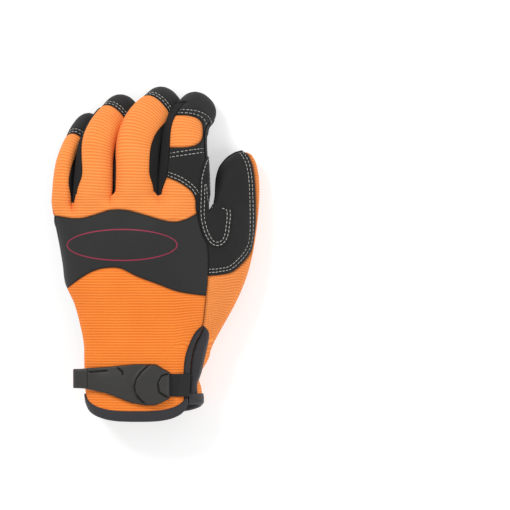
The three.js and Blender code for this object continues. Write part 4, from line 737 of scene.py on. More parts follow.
# the weave runs on from the hand to the thumb
onThumb = np.isin(np.arange(len(skin)), skinTris[onParts("thumb")])
onHand = np.isin(np.arange(len(skin)), skinTris[~onParts("thumb")])
joined = onThumb & onHand & (mark["face"] < 0.5)
skin[onThumb & ~onHand, markPlace["u"]] = skin[onThumb & ~onHand, 0] + \
    np.median(skin[joined, markPlace["u"]] - skin[joined, 0])


def boundaryEdges(tris, count):
    edges = edgesOf(tris)
    keys = edges[:, 0] * count + edges[:, 1]
    back = edges[:, 1] * count + edges[:, 0]
    return edges[~np.isin(keys, back)]


def thicken(sheet, over, under):
    # a closed shell from under to over the sheet
    rows, tris = sheet["rows"], sheet["tris"]
    count = len(rows)
    normals = unit(rows[:, 3:6])
    verts = np.vstack([rows[:, :3] + normals * np.reshape(over, (-1, 1)),
                       rows[:, :3] + normals * np.reshape(under, (-1, 1))])
    edge = boundaryEdges(tris, count)
    walls = np.vstack([np.stack([edge[:, 0], edge[:, 0] + count, edge[:, 1]], 1),
                       np.stack([edge[:, 1], edge[:, 0] + count, edge[:, 1] + count], 1)])
    faces = np.vstack([tris, tris[:, ::-1] + count, walls])
    uv = rows[:, [markPlace["u"], markPlace["v"]]]
    return verts, faces, np.vstack([uv, uv])


# materials
def addNode(tree, kind, inputs=None, **settings):
    node = tree.nodes.new(kind)
    for key, value in settings.items():
        setattr(node, key, value)
    for key, value in (inputs or {}).items():
        if isinstance(value, bpy.types.NodeSocket):
            tree.links.new(value, node.inputs[key])
        else:
            node.inputs[key].default_value = value
    return node


def linear(color):
    return tuple((c / 255 / 12.92) if c <= 10 else ((c / 255 + 0.055) / 1.055) ** 2.4
        for c in color) + (1.0,)


def startMaterial(name, spec):
    material = bpy.data.materials.new(name)
    material.use_nodes = True
    tree = material.node_tree
    shader = tree.nodes["Principled BSDF"]
    for socket, value in (("Roughness", spec["rough"]), ("Sheen Weight", spec.get("sheen", 0)),
                          ("Sheen Roughness", 0.5), ("Specular IOR Level", spec.get("shine", 0.3)),
                          ("Sheen Tint", linear(spec.get("sheenColor", (255, 255, 255))))):
        shader.inputs[socket].default_value = value
    return material, tree, shader


def weavePlace(tree):
    # the two outputs that say where on its cloth a point lies, across and along
    uv = addNode(tree, "ShaderNodeUVMap", uv_map="weave")
    return addNode(tree, "ShaderNodeSeparateXYZ", {0: uv.outputs[0]}).outputs[:2]


def calculate(tree, operation, a, b=0.0):
    return addNode(tree, "ShaderNodeMath", {0: a, 1: b}, operation=operation).outputs[0]


def weighted(tree, *terms):
    total, *others = [calculate(tree, "MULTIPLY", value, share) for value, share in terms]
    for part in others:
        total = calculate(tree, "ADD", total, part)
    return total


def fromZero(tree, value):
    # turns -1 to 1 into 0 to 1
    return addNode(tree, "ShaderNodeMath", {0: value, 1: 0.5, 2: 0.5},
        operation="MULTIPLY_ADD").outputs[0]


def sine(tree, value, period, shift=0.0):
    phase = calculate(tree, "ADD", calculate(tree, "MULTIPLY", value, 2 * math.pi / period), shift)
    return calculate(tree, "SINE", phase)


def noise(tree, scale, detail=2.0, rough=0.5):
    place = addNode(tree, "ShaderNodeTexCoord")
    return addNode(tree, "ShaderNodeTexNoise", {"Vector": place.outputs["Object"], "Scale": scale,
                                                "Detail": detail, "Roughness": rough}).outputs[0]


def finishMaterial(tree, shader, spec, height, tone):
    # tone runs from 0, the deep color, to 1, the light color
    ramp = addNode(tree, "ShaderNodeMix", {0: tone, 6: linear(spec["deep"]), 7: linear(spec["light"])},
                   data_type="RGBA")
    # painted shade: an attribute per point mixes the colour towards a darker copy of the deep colour in
    # seams, grooves and on inner walls
    cavity = addNode(tree, "ShaderNodeAttribute", attribute_name="cavity")
    shadeColor = linear([c * spec.get("dirt", 0.45) for c in spec["deep"]])
    shade = addNode(tree, "ShaderNodeMix", {0: cavity.outputs["Fac"], 6: ramp.outputs[2], 7: shadeColor},
        data_type="RGBA")
    tree.links.new(shade.outputs[2], shader.inputs["Base Color"])
    bump = addNode(tree, "ShaderNodeBump", {"Height": height, "Strength": spec["bump"],
                                            "Distance": spec["relief"] * 0.001})
    tree.links.new(bump.outputs[0], shader.inputs["Normal"])


# scales of the noises, and how much each part adds to the height and the tone
grain = {"drift": 90.0, "cloudy": 45.0, "fluff": 1500.0, "fluffShare": 0.25, "ribShare": 0.75,
    "yarnShare": 0.25, "yarnLean": 1.6, "knitTone": 0.85, "nap": 0.12, "broad": 40.0,
    "leatherTone": (0.4, 0.35, 0.35), "leatherHeight": 0.6, "weaveFluff": 900.0, "weaveTone": 0.5,
    "weaveHeight": 0.4}


def knitMaterial(name, spec):
    material, tree, shader = startMaterial(name, spec)
    across, along = weavePlace(tree)
    drift = weighted(tree, (noise(tree, grain["drift"]), spec["drift"]))
    rib = fromZero(tree, sine(tree, along, spec["rib"], drift))
    yarn = fromZero(tree, sine(tree, across, spec["yarn"], weighted(tree, (rib, grain["yarnLean"]))))
    height = weighted(tree, (rib, grain["ribShare"]), (yarn, grain["yarnShare"]))
    fluff = weighted(tree, (noise(tree, grain["fluff"]), grain["fluffShare"]))
    cloudy = noise(tree, grain["cloudy"], 3.0)
    # painted shade: the tone follows the rib height, so the grooves between the ribs are darker; cloudy
    # and fluff are the yarn's own uneven tone
    tone = weighted(tree, (height, grain["knitTone"]), (cloudy, spec["mottle"]), (fluff, 1.0))
    finishMaterial(tree, shader, spec, calculate(tree, "ADD", height, fluff), tone)
    return material


def suedeMaterial(name, spec):
    material, tree, shader = startMaterial(name, spec)
    noises = [noise(tree, spec["grain"], 4.0, 0.65), noise(tree, spec["grain"] * grain["nap"], 3.0),
              noise(tree, grain["broad"])]
    height = weighted(tree, *[(q, grain["leatherHeight"]) for q in noises[:2]])
    finishMaterial(tree, shader, spec, height, weighted(tree, *zip(noises, grain["leatherTone"])))
    return material


def weaveMaterial(name, spec):
    material, tree, shader = startMaterial(name, spec)
    across, along = weavePlace(tree)
    weave = fromZero(tree, calculate(tree, "MULTIPLY", sine(tree, across, spec["warp"]),
        sine(tree, along, spec["weft"])))
    fluff = noise(tree, grain["weaveFluff"], 3.0)
    tone = weighted(tree, (weave, grain["weaveTone"]), (fluff, grain["weaveTone"]))
    finishMaterial(tree, shader, spec, weighted(tree, (weave, 1.0), (fluff, grain["weaveHeight"])),
        tone)
    return material


knit = {"light": (250, 156, 82), "deep": (218, 102, 36), "rough": 0.9, "sheen": 0.15,
    "sheenColor": (255, 190, 140), "rib": 2.0, "yarn": 1.3, "drift": 1.6, "mottle": 0.3, "bump": 0.9,
    "relief": 0.35, "shine": 0.15}
looks = {
    "orangeKnit": (knitMaterial, knit),
    "cuffKnit": (knitMaterial, dict(knit, light=(252, 144, 60), deep=(218, 92, 24))),
    "blackStretch": (knitMaterial, {"light": (34, 34, 35), "deep": (14, 14, 15), "rough": 0.9,
    "rib": 1.1, "yarn": 0.9, "drift": 0.5, "mottle": 0.3, "bump": 0.4, "relief": 0.2}),
    "neoprene": (weaveMaterial, {"light": (44, 45, 44), "deep": (27, 28, 27), "rough": 0.75,
    "warp": 0.9, "weft": 0.7, "bump": 0.25, "relief": 0.1, "sheen": 0.1}),
    "blackLeather": (suedeMaterial, {"light": (39, 39, 39), "deep": (11, 11, 11), "rough": 0.85,
    "sheen": 0.06, "grain": 1400.0, "bump": 0.35, "relief": 0.25}),
    "gripLeather": (suedeMaterial, {"light": (54, 54, 51), "deep": (20, 20, 19), "rough": 0.85,
    "sheen": 0.08, "grain": 1100.0, "bump": 0.4, "relief": 0.3}),
    "bindingTape": (weaveMaterial, {"light": (62, 60, 64), "deep": (30, 29, 32), "rough": 0.8,
    "warp": 1.2, "weft": 0.9, "bump": 0.5, "relief": 0.25, "sheen": 0.15}),
    "webbing": (weaveMaterial, {"light": (48, 48, 48), "deep": (18, 18, 18), "rough": 0.8,
    "warp": 1.6, "weft": 1.1, "bump": 0.6, "relief": 0.3}),
    "mouldedRubber": (suedeMaterial, {"light": (46, 45, 42), "deep": (27, 26, 24), "rough": 0.5,
    "grain": 1800.0, "bump": 0.2, "relief": 0.1, "shine": 0.5}),
    "whiteThread": (weaveMaterial, {"light": (222, 221, 216), "deep": (150, 149, 145), "rough": 0.7,
    "warp": 0.5, "weft": 0.4, "bump": 0.4, "relief": 0.1}),
    "badgePrint": (weaveMaterial, {"light": (206, 68, 104), "deep": (170, 48, 80), "rough": 0.55,
    "warp": 0.6, "weft": 0.5, "bump": 0.2, "relief": 0.05}),
}
materials = {name: make(name, spec) for name, (make, spec) in looks.items()}
slotLooks = {
    "orange_knit": "orangeKnit", "black_stretch": "blackStretch", "black_neoprene": "neoprene",
    "black_leather": "blackLeather", "padded_leather": "blackLeather", "grip_leather": "gripLeather",
    "binding_tape": "bindingTape", "black_webbing": "webbing", "moulded_rubber": "mouldedRubber"}
print("materials made")


def addMesh(name, verts, faces, uv, slot, nodes=None, sharp=55, cavity=None, look=None):
    # sharp is the angle in degrees from which an edge stays sharp, and the painted shade at each point
    # darkens its colour in seams, grooves and on inner walls
    data = bpy.data.meshes.new(name)
    faces = np.asarray(faces)
    sides = faces.shape[1]
    data.vertices.add(len(verts))
    data.vertices.foreach_set("co", ((np.asarray(verts) - np.array(glove["origin"])) * 0.001).ravel())
    data.loops.add(faces.size)
    data.loops.foreach_set("vertex_index", faces.ravel())
    data.polygons.add(len(faces))
    data.polygons.foreach_set("loop_start", np.arange(len(faces)) * sides)
    data.polygons.foreach_set("loop_total", np.full(len(faces), sides))
    data.polygons.foreach_set("use_smooth", np.ones(len(faces), bool))
    layer = data.uv_layers.new(name="weave")
    layer.data.foreach_set("uv", np.asarray(uv)[faces.ravel()].ravel())
    if cavity is not None:
        data.attributes.new("cavity", "FLOAT", "POINT").data.foreach_set("value", cavity)
    data.update(calc_edges=True)
    data.validate()
    data.set_sharp_from_angle(angle=math.radians(sharp))
    data.materials.append(materials[look or slotLooks[slot]])
    piece = bpy.data.objects.new(name, data)
    bpy.context.scene.collection.objects.link(piece)
    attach(piece, "root")
    if nodes is None:
        nodes = [name]
    if nodes:
        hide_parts(*nodes)
    return piece


# sewing: pitch from stitch to stitch, uneven and askew as shares and millimetres of a stitch
thread = {"pitch": 3.0, "length": 2.35, "radius": 0.23, "sink": 0.13, "rings": 7, "sides": 6,
    "uneven": 0.06, "askew": 0.05, "sample": 0.5, "window": 7}
stitches = {}


def edgeChains(sheet, name, level, limit=None):
    # the points of a sheet on a level line of a field, in chains
    on = np.abs(column(sheet, name) - level) < 1e-7
    edges = edgesOf(sheet["tris"])
    edges = np.unique(np.sort(edges[on[edges].all(1)], 1), axis=0)
    if limit is not None and len(edges):
        edges = edges[limit(sheet)[edges].all(1)]
    links = {}
    for a, b in edges.tolist():
        links.setdefault(a, []).append(b)
        links.setdefault(b, []).append(a)
    chains = []
    for start in sorted(links, key=lambda v: (len(links[v]) != 1, v)):
        while links.get(start):
            chain = [start]
            while links.get(chain[-1]):
                here = chain[-1]
                ahead = links[here].pop(0)
                links[ahead].remove(here)
                chain.append(ahead)
            chains.append(chain)
    return chains


def sewChain(group, points, normals, seed):
    reach = reachAlong(points)
    if reach[-1] < 1.5 * thread["pitch"]:
        return
    fine = np.linspace(0, reach[-1], max(8, int(reach[-1] / thread["sample"])))
    both = np.stack([np.interp(fine, reach, q) for q in np.hstack([points, normals]).T], 1)
    closed = np.linalg.norm(points[0] - points[-1]) < 1e-6
    window = thread["window"]
    if closed:
        pad = np.vstack([both[-window:-1], both, both[1:window]])
    else:
        pad = np.vstack([np.repeat(both[:1], window - 1, 0), both, np.repeat(both[-1:], window - 1, 0)])
    smooth = np.stack([np.convolve(q, np.ones(window) / window, "same") for q in pad.T], 1)
    smooth = smooth[window - 1:-(window - 1)]
    if not closed:
        smooth[0], smooth[-1] = both[0], both[-1]
    count = max(1, int(round(reach[-1] / thread["pitch"])))
    pitch = reach[-1] / count
    rng = np.random.default_rng(seed)
    t = np.linspace(0, 1, thread["rings"])
    starts = (np.arange(count) + 0.5 * (1 - thread["length"] / thread["pitch"])) * pitch
    long = thread["length"] * pitch / thread["pitch"] * \
        (1 + thread["uneven"] * rng.standard_normal(count))
    at = starts[:, None] + long[:, None] * t
    sample = np.stack([np.interp(at, fine, q) for q in smooth.T], -1)
    centre, normal = sample[..., :3], unit(sample[..., 3:])
    side = unit(np.cross(unit(np.gradient(centre, axis=1)), normal))
    hump = np.sin(np.pi * t)
    centre = centre + normal * (thread["radius"] * (0.25 + 0.75 * hump) - thread["sink"])[None, :, None]
    centre = centre + side * (rng.standard_normal(count) * thread["askew"])[:, None, None]
    radius = thread["radius"] * (0.35 + 0.65 * hump ** 0.4)
    angle = np.linspace(0, 2 * np.pi, thread["sides"], endpoint=False)[:, None]
    around = 1.1 * np.cos(angle) * side[:, :, None] + 0.9 * np.sin(angle) * normal[:, :, None]
    verts = centre[:, :, None] + radius[:, None, None] * around
    stitches.setdefault(group, []).append(verts.reshape(-1, 3))


def makeStitches():
    rings, sides = thread["rings"], thread["sides"]
    j = np.arange(sides)
    ahead = (j + 1) % sides
    block = [
        np.stack([i * sides + j, i * sides + ahead, (i + 1) * sides + ahead, (i + 1) * sides + j], 1)
        for i in range(rings - 1)]
    caps = np.array([[0, 5, 4, 3], [0, 3, 2, 1], [0, 1, 2, 3], [0, 3, 4, 5]])
    caps[2:] += (rings - 1) * sides
    block = np.vstack(block + [caps])
    for group, lists in stitches.items():
        verts = np.vstack(lists)
        count = len(verts) // (rings * sides)
        faces = (block[None] + (np.arange(count) * rings * sides)[:, None, None]).reshape(-1, 4)
        uv = np.stack([np.tile(np.tile(j * 0.3, rings), count), verts[:, 0] + verts[:, 1]], 1)
        addMesh(group, verts, faces, uv, "binding_tape", [], sharp=80, look="whiteThread")
        print("sewn", group, count)


def edgeRoll(depth, roll):
    t = np.clip(depth / roll, 0, 1)
    return np.sqrt(np.maximum(0, 1 - (1 - t) ** 2))


# what a panel has unless it says otherwise: its edge rolls in over roll and dips by dip, puff and
# crown lift its middle, pucker and groove are the marks of the seams, thick and lift are for pieces
# sewn on top, under is the inner wall, swell rounds it across, rows are lines of stitches as field,
# levels and where, and flush are cuts that don't roll
# seamShade, rowShade and insideShade say how much painted shade falls at the seams, along the stitches
# and on the inner wall
panelLook = {"rows": [], "flush": [], "roll": 1.6, "dip": 0.8, "thick": 0, "lift": 0, "puff": 0.25,
    "puffReach": 5, "crown": 0, "crownReach": 1, "pucker": 0.12, "puckerSize": 3.2, "groove": 0.28,
    "under": -1.6, "swell": 0, "floor": None, "seamShade": 0.6, "rowShade": 0.5, "insideShade": 0.7,
    "group": "stitching_back", "nodes": None, "look": None}


def makePanel(name, slot, wanted, cuts, **changes):
    spec = dict(panelLook, **changes)
    rows, roll, thick = spec["rows"], spec["roll"], spec["thick"]
    wanted = onParts(*wanted.split()) if isinstance(wanted, str) else wanted
    sheet = cutSheet(wanted, cuts.split(), [row[0] for row in rows], spec["flush"])
    for level in (0.18 * roll, 0.5 * roll, roll):
        splitSheet(sheet, "depth", level, snap=0.1)
    lines = [(field, level, limit) for field, levels, limit in rows for level in levels]
    for field, level, limit in lines:
        for aside in (-0.75, 0.75, 0):
            splitSheet(sheet, field, level + aside, snap=0.08)
    depth = column(sheet, "depth")
    points = sheet["rows"][:, :3]
    dip = thick * 0.75 if thick else spec["dip"]
    over = spec["lift"] + thick - dip * (1 - edgeRoll(depth, roll))
    over = over + spec["puff"] * (1 - np.exp(-depth / spec["puffReach"]))
    over = over + spec["crown"] * softStep(0, spec["crownReach"], depth)
    over = over + spec["pucker"] * cloud(points, spec["puckerSize"], 11) * \
        np.exp(-depth / 3) * softStep(0, 1.5, depth)
    # painted shade: the colour darkens near the panel's rolled-in edges and along its rows of stitches
    cavity = np.exp(-(depth / 0.9) ** 2) * spec["seamShade"]
    for field, level, limit in lines:
        keep = limit(sheet).astype(float) if limit else 1.0
        away = column(sheet, field) - level
        over = over - keep * spec["groove"] * np.exp(-(away / 0.85) ** 2)
        cavity = np.maximum(cavity, spec["rowShade"] * keep * np.exp(-(away / 0.8) ** 2))
    over = over + spec["swell"] * np.sin(np.pi * column(sheet, "face")) * softStep(0, 3, depth)
    verts, faces, uv = thicken(sheet, over, np.minimum(spec["under"], over - 0.15))
    if spec["floor"] is not None:
        verts[:, 2] = np.maximum(verts[:, 2], spec["floor"])
    # painted shade: the inner wall is darker
    cavity = np.concatenate([cavity, np.full(len(cavity), spec["insideShade"])])
    piece = addMesh(name, verts, faces, uv, slot, spec["nodes"], cavity=cavity, look=spec["look"])
    normals = unit(sheet["rows"][:, 3:6])
    surface = points + normals * over[:, None]
    for k, (field, levels, limit) in enumerate(rows):
        for level in levels:
            for chain in edgeChains(sheet, field, level, limit):
                sewChain(spec["group"], surface[chain], normals[chain], 100 * k + len(chain))
    return piece


# the panels; their rows of stitches lie at these distances from the seam
stitchRows = {"cap": [1.7, 4.0], "window": [1.6, 3.8], "thumb": [2.4, 4.7], "bar": [0, 2.9],
    "patch": [1.4, 3.4], "saddle": [1.4, 3.6], "pad": [1.3, 3.5]}
onBackFace = lambda sheet: column(sheet, "face") < 0.7
onWindowTop = lambda sheet: sheet["rows"][:, 1] > (bodyLength * indexWindow["along"] - 8.5)
onIndexSide = lambda sheet: column(sheet, "finger") == lastFinger
onIndexBack = lambda sheet: onIndexSide(sheet) & (column(sheet, "face") < 0.3)
sewnSaddle = lambda sheet: (column(sheet, "face") > 0.5) | \
    (sheet["rows"][:, 1] < 0.962 * bodyLength) | (sheet["rows"][:, 0] < 0.5 * palmWidth)
windowRow = ("notWindow", stitchRows["window"], onWindowTop)
allParts = "body web finger thumb"
makePanel("knuckle_knit", "orange_knit", "body web finger", "back knitSide aboveBand notCap")
makePanel("index_knit", "orange_knit", "finger3", "back window notCap")
makePanel("index_patch", "black_leather", "body finger3", "back thumbSide aboveCrotch notWindow notCap",
    puff=0.5, flush=["notCap"], rows=[windowRow, ("thumbSide", stitchRows["cap"], onIndexSide),
    ("bar", stitchRows["bar"], onIndexBack)])
makePanel("knuckle_band", "black_neoprene", "body", "back knitSide belowBandTop aboveBandBottom",
    puff=0.4)
makePanel("wrist_knit", "orange_knit", "body", "back knitSideSlit belowBand", look="cuffKnit")
makePanel("thumb_knit", "orange_knit", "body thumb", "wrapA wrapB")
makePanel("thumb_leather", "black_leather", "body thumb", "back thumbSide insideWrap belowCrotch",
          rows=[("insideWrap", stitchRows["thumb"], onBackFace)], group="stitching_thumb")
makePanel("palm_leather", "black_leather", allParts, "palm insideWrap aboveCuff notCap", floor=0.3)
makePanel("palm_cuff_knit", "orange_knit", "body", "palm insideWrap belowLeather")
for f, finger in enumerate(fingers):
    isLast = f == lastFinger
    makePanel("fingertip_" + finger["name"], "black_leather", "finger%d" % f, "cap", floor=0.0,
        puff=0.5, flush=["cap"] if isLast else [],
        rows=[windowRow if isLast else ("cap", stitchRows["cap"], onBackFace)])
sideSum = skin[skinTris, markPlace["side"]].sum(1)
for w in range(len(saddles)):
    wanted = onParts("web%d" % w) | (onParts("finger%d" % w) & (sideSum > 1)) | \
        (onParts("finger%d" % (w + 1)) & (sideSum < -1))
    makePanel("fourchette_%d" % (w + 1), "black_stretch", wanted, "notBack notPalm notCap", puff=0,
        swell=1.5)
print("panels made")

patchLook = dict(thick=1.2, under=-0.1, roll=1.0, puff=0.1)
makePanel("thumb_saddle", "grip_leather", "body finger3 thumb", "saddle", look="blackLeather",
          rows=[("saddle", stitchRows["saddle"], sewnSaddle)], group="stitching_thumb", **patchLook)
makePanel("thumb_patch", "grip_leather", "thumb", "insetPalm insetLeather pastCrease clearOfSaddle",
    floor=0.2, rows=[("pastCrease", stitchRows["patch"], None)], group="stitching_palm", **patchLook)
makePanel("index_tip_patch", "grip_leather", "finger3", "indexFront awayFromMiddle indexTip indexEnd",
    floor=0.0, rows=[("indexTip", stitchRows["patch"], None)], group="stitching_palm", **patchLook)
for name, field in (("knuckle_pad", "knucklePad"), ("heel_pad", "heelPad"),
        ("thenar_pad", "thenarPad")):
    piece = makePanel(name, "padded_leather", allParts, field + " onFront",
        rows=[(field, stitchRows["pad"], None)], group="stitching_palm", thick=1.0, under=-0.1,
        roll=1.0, crown=1.9, crownReach=11, puff=0, groove=0.4, floor=0.4)
print("patches and pads made")

# bound edges of the slit, of which the right one stands up like a leaf
for name, cuts, crown, reach in (
        ("slit_binding_left", "onBack slitLeft leafLeft aboveBinding", 0.5, 3.0),
        ("slit_binding_right", "onBack slitRight leafRight aboveBinding", 2.4, 4.5)):
    makePanel(name, "binding_tape", "body thumb", cuts, thick=1.2, under=-0.1, roll=1.1, crown=crown,
              crownReach=reach, puff=0)

# hem tape, folded over the edge of the cuff: over is outside the skin, fold past its edge, middle
# and width are measured from the edge, inside and clear leave room for the cloth's wall
hemTape = {"over": 1.35, "fold": 1.4, "middle": 3.2, "width": bindingWidth, "wall": 1.6,
    "inside": -1.65, "clear": 0.05, "slitRoom": 0.15, "rows": 14}


def hemTapePath():
    # points and normals of the skin at the edge, the middle and the end of the tape, all around
    def at(key, i):
        reading = skin[[bodyRings[r][key][i] for r in range(hemTape["rows"])], :6]
        reach = reachAlong(reading[:, :3])
        places = [np.array([np.interp(p, reach, q) for q in reading.T])
            for p in (0, hemTape["middle"], hemTape["width"])]
        return [q[:3] for q in places] + [q[3:] for q in places]

    def atLimit(a, b, value):
        t = (value - side[a]) / (side[b] - side[a])
        return [mix(p, q, t) for p, q in zip(at("back", a), at("back", b))]

    first = bodyRings[0]
    side = thumbSide[first["back"]]
    limit = glove["slitHalf"] + hemTape["slitRoom"]
    left, right = np.flatnonzero(side < -limit), np.flatnonzero(side > limit)
    path = [atLimit(left[-1], left[-1] + 1, -limit)]
    path += [at("back", i) for i in left[::-1]] + [at("left", i) for i in range(sideCells - 1)]
    path += [at("palm", i) for i in range(len(first["palm"]))]
    path += [at("right", i) for i in range(sideCells - 1)][::-1] + [at("back", i) for i in right[::-1]]
    return path + [atLimit(right[0] - 1, right[0], limit)]


def makeHemTape():
    sections = []
    g, fold, clear, inside = (hemTape[key] for key in ("over", "fold", "clear", "inside"))
    h = -hemTape["wall"] - g
    for p0, p1, p2, n0, n1, n2 in hemTapePath():
        down = unit(p0 - p1)
        sections.append([
            p2 + n2 * g * 0.35, p2 + n2 * g - unit(p2 - p1) * 0.5, p1 + n1 * g * 1.08, p0 + n0 * g,
            p0 + n0 * g * 0.6 + down * fold * 0.75, p0 - n0 * 0.8 + down * fold,
            p0 + n0 * h * 0.75 + down * fold * 0.7, p0 + n0 * h, p1 + n1 * h, p2 + n2 * (h + 0.3),
            p2 + n2 * inside, p1 + n1 * inside, p0 + n0 * inside, p0 + n0 * clear, p1 + n1 * clear,
            p2 + n2 * clear])
    sections = np.array(sections)
    along, around = sections.shape[:2]
    verts = sections.reshape(-1, 3)
    verts[:, 2] = np.maximum(verts[:, 2], 0)
    faces = []
    for i in range(along - 1):
        for j in range(around):
            a, b = i * around + j, i * around + (j + 1) % around
            faces.append([a, b, b + around, a + around])
    for start, turned in ((0, True), ((along - 1) * around, False)):
        for j in range(around // 2 - 1):
            quad = [start + j, start + j + 1, start + around - 2 - j, start + around - 1 - j]
            faces.append(quad[::-1] if turned else quad)
    faces = np.array(faces)
    a, b, c, d = (verts[faces[:, k]] for k in range(4))
    if (a * (np.cross(b, c) + np.cross(c, d))).sum() < 0:  # its volume, if the faces look outward
        faces = faces[:, ::-1]
    uv = np.stack([np.repeat(reachAlong(sections[:, 3]), around),
        np.tile(np.arange(around) * 1.2, along)], 1)
    addMesh("cuff_binding", verts, faces, uv, "binding_tape", sharp=70)


makeHemTape()
print("hem tape made")

# the wrist strap: gap and thick as on the solids; beyond start it comes down no steeper than slope
strap = {"gap": 0.3, "thick": 3.2, "slope": 0.5, "start": -0.24, "roll": 1.3, "crown": 0.3,
    "gripThick": 3.6, "gripRib": 2.2, "gripRelief": 0.25}
# across, top, bottom: cuts across the strap from its free end
gripTable = np.array([[-0.394, 0.231, 0.153], [-0.388, 0.235, 0.148], [-0.35, 0.236, 0.147],
    [-0.3, 0.239, 0.145]])
tabTable = np.array([
    [-0.308, 0.24, 0.144], [-0.24, 0.243, 0.134], [-0.175, 0.246, 0.123], [-0.1, 0.252, 0.103],
    [-0.042, 0.255, 0.087], [0.005, 0.258, 0.078], [0.072, 0.258, 0.071], [0.135, 0.256, 0.073],
    [0.175, 0.24, 0.085], [0.222, 0.222, 0.102]])
# moulded relief of the tab, in millimetres from the hand's axis and the hem
relief = {
    "grooves": [[(10.6, 41.0), (5.0, 36.0), (0.8, 30.5), (-0.6, 25.0), (0.4, 20.0), (4.0, 15.6),
    (7.4, 12.6)], [(24.2, 34.6), (19.2, 32.8), (16.5, 27.5), (17.6, 21.0), (22.4, 18.0),
    (25.0, 17.4)], [(26.0, 35.6), (26.0, 17.0)], [(-12.4, 38.6), (-9.2, 36.2), (-8.8, 34.0)],
    [(-33.4, 35.6), (-20.4, 36.6)]], "width": 0.6, "depth": 1.1, "plate": 1.1, "plateMiddle": 25.5,
    "plateEnd": 26.0, "plateBow": 0.045}
bvh = BVHTree.FromPolygons([tuple(p) for p in skin[:, :3]], [tuple(t) for t in skinTris.tolist()])


def skinAt(x, y):
    hit = bvh.ray_cast(Vector((x, y, 200.0)), Vector((0, 0, -1)))[0]
    return hit.z if hit else -1e9


def strapSeat(across):
    return max(skinAt((across + a) * palmWidth, along * bodyLength) for a in (-0.02, 0, 0.02)
               for along in np.arange(0.07, 0.265, 0.02)) + strap["gap"]


seatPlaces = np.arange(-0.4, 0.24, 0.01)
seats = np.array([strapSeat(a) for a in seatPlaces])
for i in range(len(seats) - 2, -1, -1):
    if seatPlaces[i] < strap["start"]:
        seats[i] = max(seats[i], seats[i + 1] - strap["slope"] * 0.01 * palmWidth)
seats = np.convolve(np.pad(seats, 2, "edge"), np.ones(5) / 5, "valid")


def gridSheet(points, count):
    # a sheet through rows of count points each
    rows = np.zeros((len(points), skin.shape[1]))
    rows[:, :3] = points
    rows[:, 5] = 1
    rows[:, [markPlace["u"], markPlace["v"]]] = points[:, :2]
    i, k = np.meshgrid(np.arange(len(points) // count - 1), np.arange(count - 1), indexing="ij")
    a = (i * count + k).ravel()
    return {"rows": rows, "tris": halves(np.stack([a, a + 1, a + count + 1, a + count], 1))}


def strapSheet(table, rowsAlong, rowsAcross):
    line = readRows(table, np.linspace(0, len(table) - 1, rowsAlong))
    x = np.repeat(line[:, 0] * palmWidth, rowsAcross)
    y = (mix(line[:, 1:2], line[:, 2:3], np.linspace(0, 1, rowsAcross)) * bodyLength).ravel()
    points = np.stack([x, y, np.interp(x / palmWidth, seatPlaces, seats)], 1)
    rim = np.vstack([line[:, [0, 1]], line[::-1, [0, 2]]]) * floorScale
    return gridSheet(points, rowsAcross), awayFrom(points[:, :2], rim, closed=True)


def addStrap(name, slot, sheet, over, sharp, cavity=None):
    verts, faces, uv = thicken(sheet, over, 0.0)
    addMesh(name, verts, faces[:, ::-1], uv, slot, sharp=sharp, cavity=cavity)


def makeTab():
    sheet, depth = strapSheet(tabTable, 190, 70)
    p = sheet["rows"][:, :2]
    over = strap["thick"] * (0.35 + 0.65 * edgeRoll(depth, strap["roll"])) + \
        strap["crown"] * softStep(0, 9, depth)
    bow = relief["plateBow"] * (p[:, 1] - relief["plateMiddle"]) ** 2
    plate = softStep(0, 1.4, p[:, 0] + 1.5 - bow + 1.0) * softStep(0, 2.0, relief["plateEnd"] - p[:, 0])
    over += relief["plate"] * plate * edgeRoll(depth, 2.4)
    cavity = np.zeros(len(over))
    # painted shade: the colour darkens in the moulded grooves
    for line in relief["grooves"]:
        groove = np.exp(-(awayFrom(p, np.array(line)) / relief["width"]) ** 2)
        over -= relief["depth"] * groove
        cavity = np.maximum(cavity, groove)
    addStrap("strap_tab", "moulded_rubber", sheet, over, 60, np.tile(cavity, 2))
    sheet, depth = strapSheet(gripTable, 40, 40)
    ribs = np.sin(sheet["rows"][:, 0] * 2 * np.pi / strap["gripRib"]) * softStep(1.2, 2.4, depth)
    over = strap["gripThick"] * (0.3 + 0.7 * edgeRoll(depth, 1.6)) + strap["gripRelief"] * ribs
    addStrap("strap_grip", "moulded_rubber", sheet, over, 60)


def makeWebbing():
    # it comes from under the tab and goes into the slit
    ys = np.linspace(0.214, 0.11, 26) * bodyLength
    knitEdge = readLine(seams["knitEdge"])[:6]
    points, count = [], 30
    for y in ys:
        slitX = np.interp(y, knitEdge[:, 1], knitEdge[:, 0])
        xs = np.linspace(tabTable[-1, 0] * palmWidth - 1.0, slitX + 0.6, count)
        lift = mix(0.5, 2.1, softStep(slitX - 9.5, slitX - 6.5, xs))
        points += [(x, y, skinAt(x, y) + q) for x, q in zip(xs, lift)]
    points = np.array(points)
    edge = np.minimum(points[:, 1] - ys[-1], ys[0] - points[:, 1])
    addStrap("strap_webbing", "black_webbing", gridSheet(points, count),
        0.6 + 0.9 * edgeRoll(edge, 0.8), 55)


makeTab()
makeWebbing()
print("strap made")

# a plain printed ring on the knuckle band
badge = {"across": -0.079, "along": 0.797, "halfWidth": 40.0, "halfHeight": 11.2, "line": 0.5,
    "thick": 0.12, "lift": 0.38}


def insideRing(wider):
    x = (skin[:, 0] - badge["across"] * palmWidth) / (badge["halfWidth"] + wider)
    y = (skin[:, 1] - badge["along"] * bodyLength) / (badge["halfHeight"] + wider)
    return (1 - np.hypot(x, y)) * badge["halfHeight"]


fields.update(ringOut=insideRing(badge["line"]), ringIn=-insideRing(-badge["line"]))
makePanel("band_ring", "black_neoprene", "body", "back ringOut ringIn", look="badgePrint", nodes=[],
          thick=badge["thick"], lift=badge["lift"], under=0.3, roll=0.3, puff=0, pucker=0)
makeStitches()

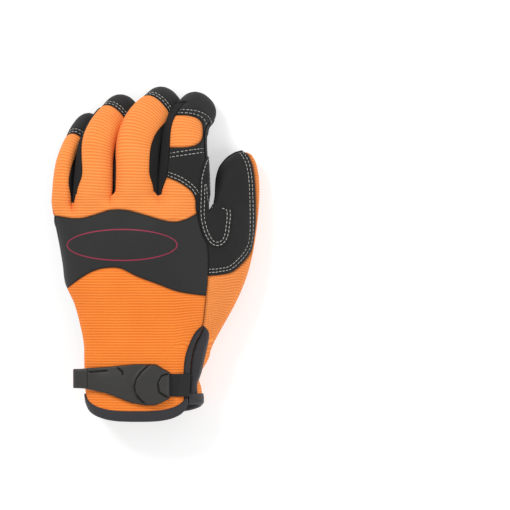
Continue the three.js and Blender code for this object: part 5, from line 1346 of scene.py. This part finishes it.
# floor, light and camera; a light has a place, a size and its watts
stage = {"floor": (205, 205, 205), "glow": 0.5, "world": 0.66, "distance": 6.0, "frameWidth": 0.3723,
    "sensor": 36.0, "aim": (0.0726, -0.0007, 0.03)}
lights = {"key": ((-1.0, 1.1, 1.5), 0.7, 22), "fill": ((1.3, -0.5, 1.2), 1.2, 9)}


def makeFloor():
    data = bpy.data.meshes.new("floor")
    data.from_pydata([(-4, -4, 0), (4, -4, 0), (4, 4, 0), (-4, 4, 0)], [], [(0, 1, 2, 3)])
    material = bpy.data.materials.new("floorWhite")
    material.use_nodes = True
    shader = material.node_tree.nodes["Principled BSDF"]
    for socket, value in (("Base Color", linear(stage["floor"])), ("Roughness", 0.9),
            ("Specular IOR Level", 0.1), ("Emission Color", (1, 1, 1, 1)),
            ("Emission Strength", stage["glow"])):
        shader.inputs[socket].default_value = value
    data.materials.append(material)
    floor = bpy.data.objects.new("floor", data)
    floor.location.z = -0.0002
    bpy.context.scene.collection.objects.link(floor)


def addLight(name, place, size, power):
    data = bpy.data.lights.new(name, "AREA")
    data.shape = "DISK"
    data.size = size
    data.energy = power
    light = bpy.data.objects.new(name, data)
    light.location = place
    light.rotation_euler = (Vector((0, 0, 0.02)) - Vector(place)).to_track_quat("-Z", "Y").to_euler()
    bpy.context.scene.collection.objects.link(light)


makeFloor()
world = bpy.context.scene.world or bpy.data.worlds.new("studio")
bpy.context.scene.world = world
world.use_nodes = True
background = world.node_tree.nodes["Background"]
background.inputs["Color"].default_value = (1, 1, 1, 1)
background.inputs["Strength"].default_value = stage["world"]
for name, (place, size, power) in lights.items():
    addLight(name, place, size, power)
bpy.context.scene.view_settings.view_transform = "Standard"
cameraData = bpy.data.cameras.new("camera")
cameraData.sensor_width = stage["sensor"]
cameraData.lens = stage["sensor"] * stage["distance"] / stage["frameWidth"]
cameraData.clip_end = 50
camera = bpy.data.objects.new("camera", cameraData)
camera.location = Vector(stage["aim"]) + Vector((0, 0, stage["distance"]))
bpy.context.scene.collection.objects.link(camera)
bpy.context.scene.camera = camera
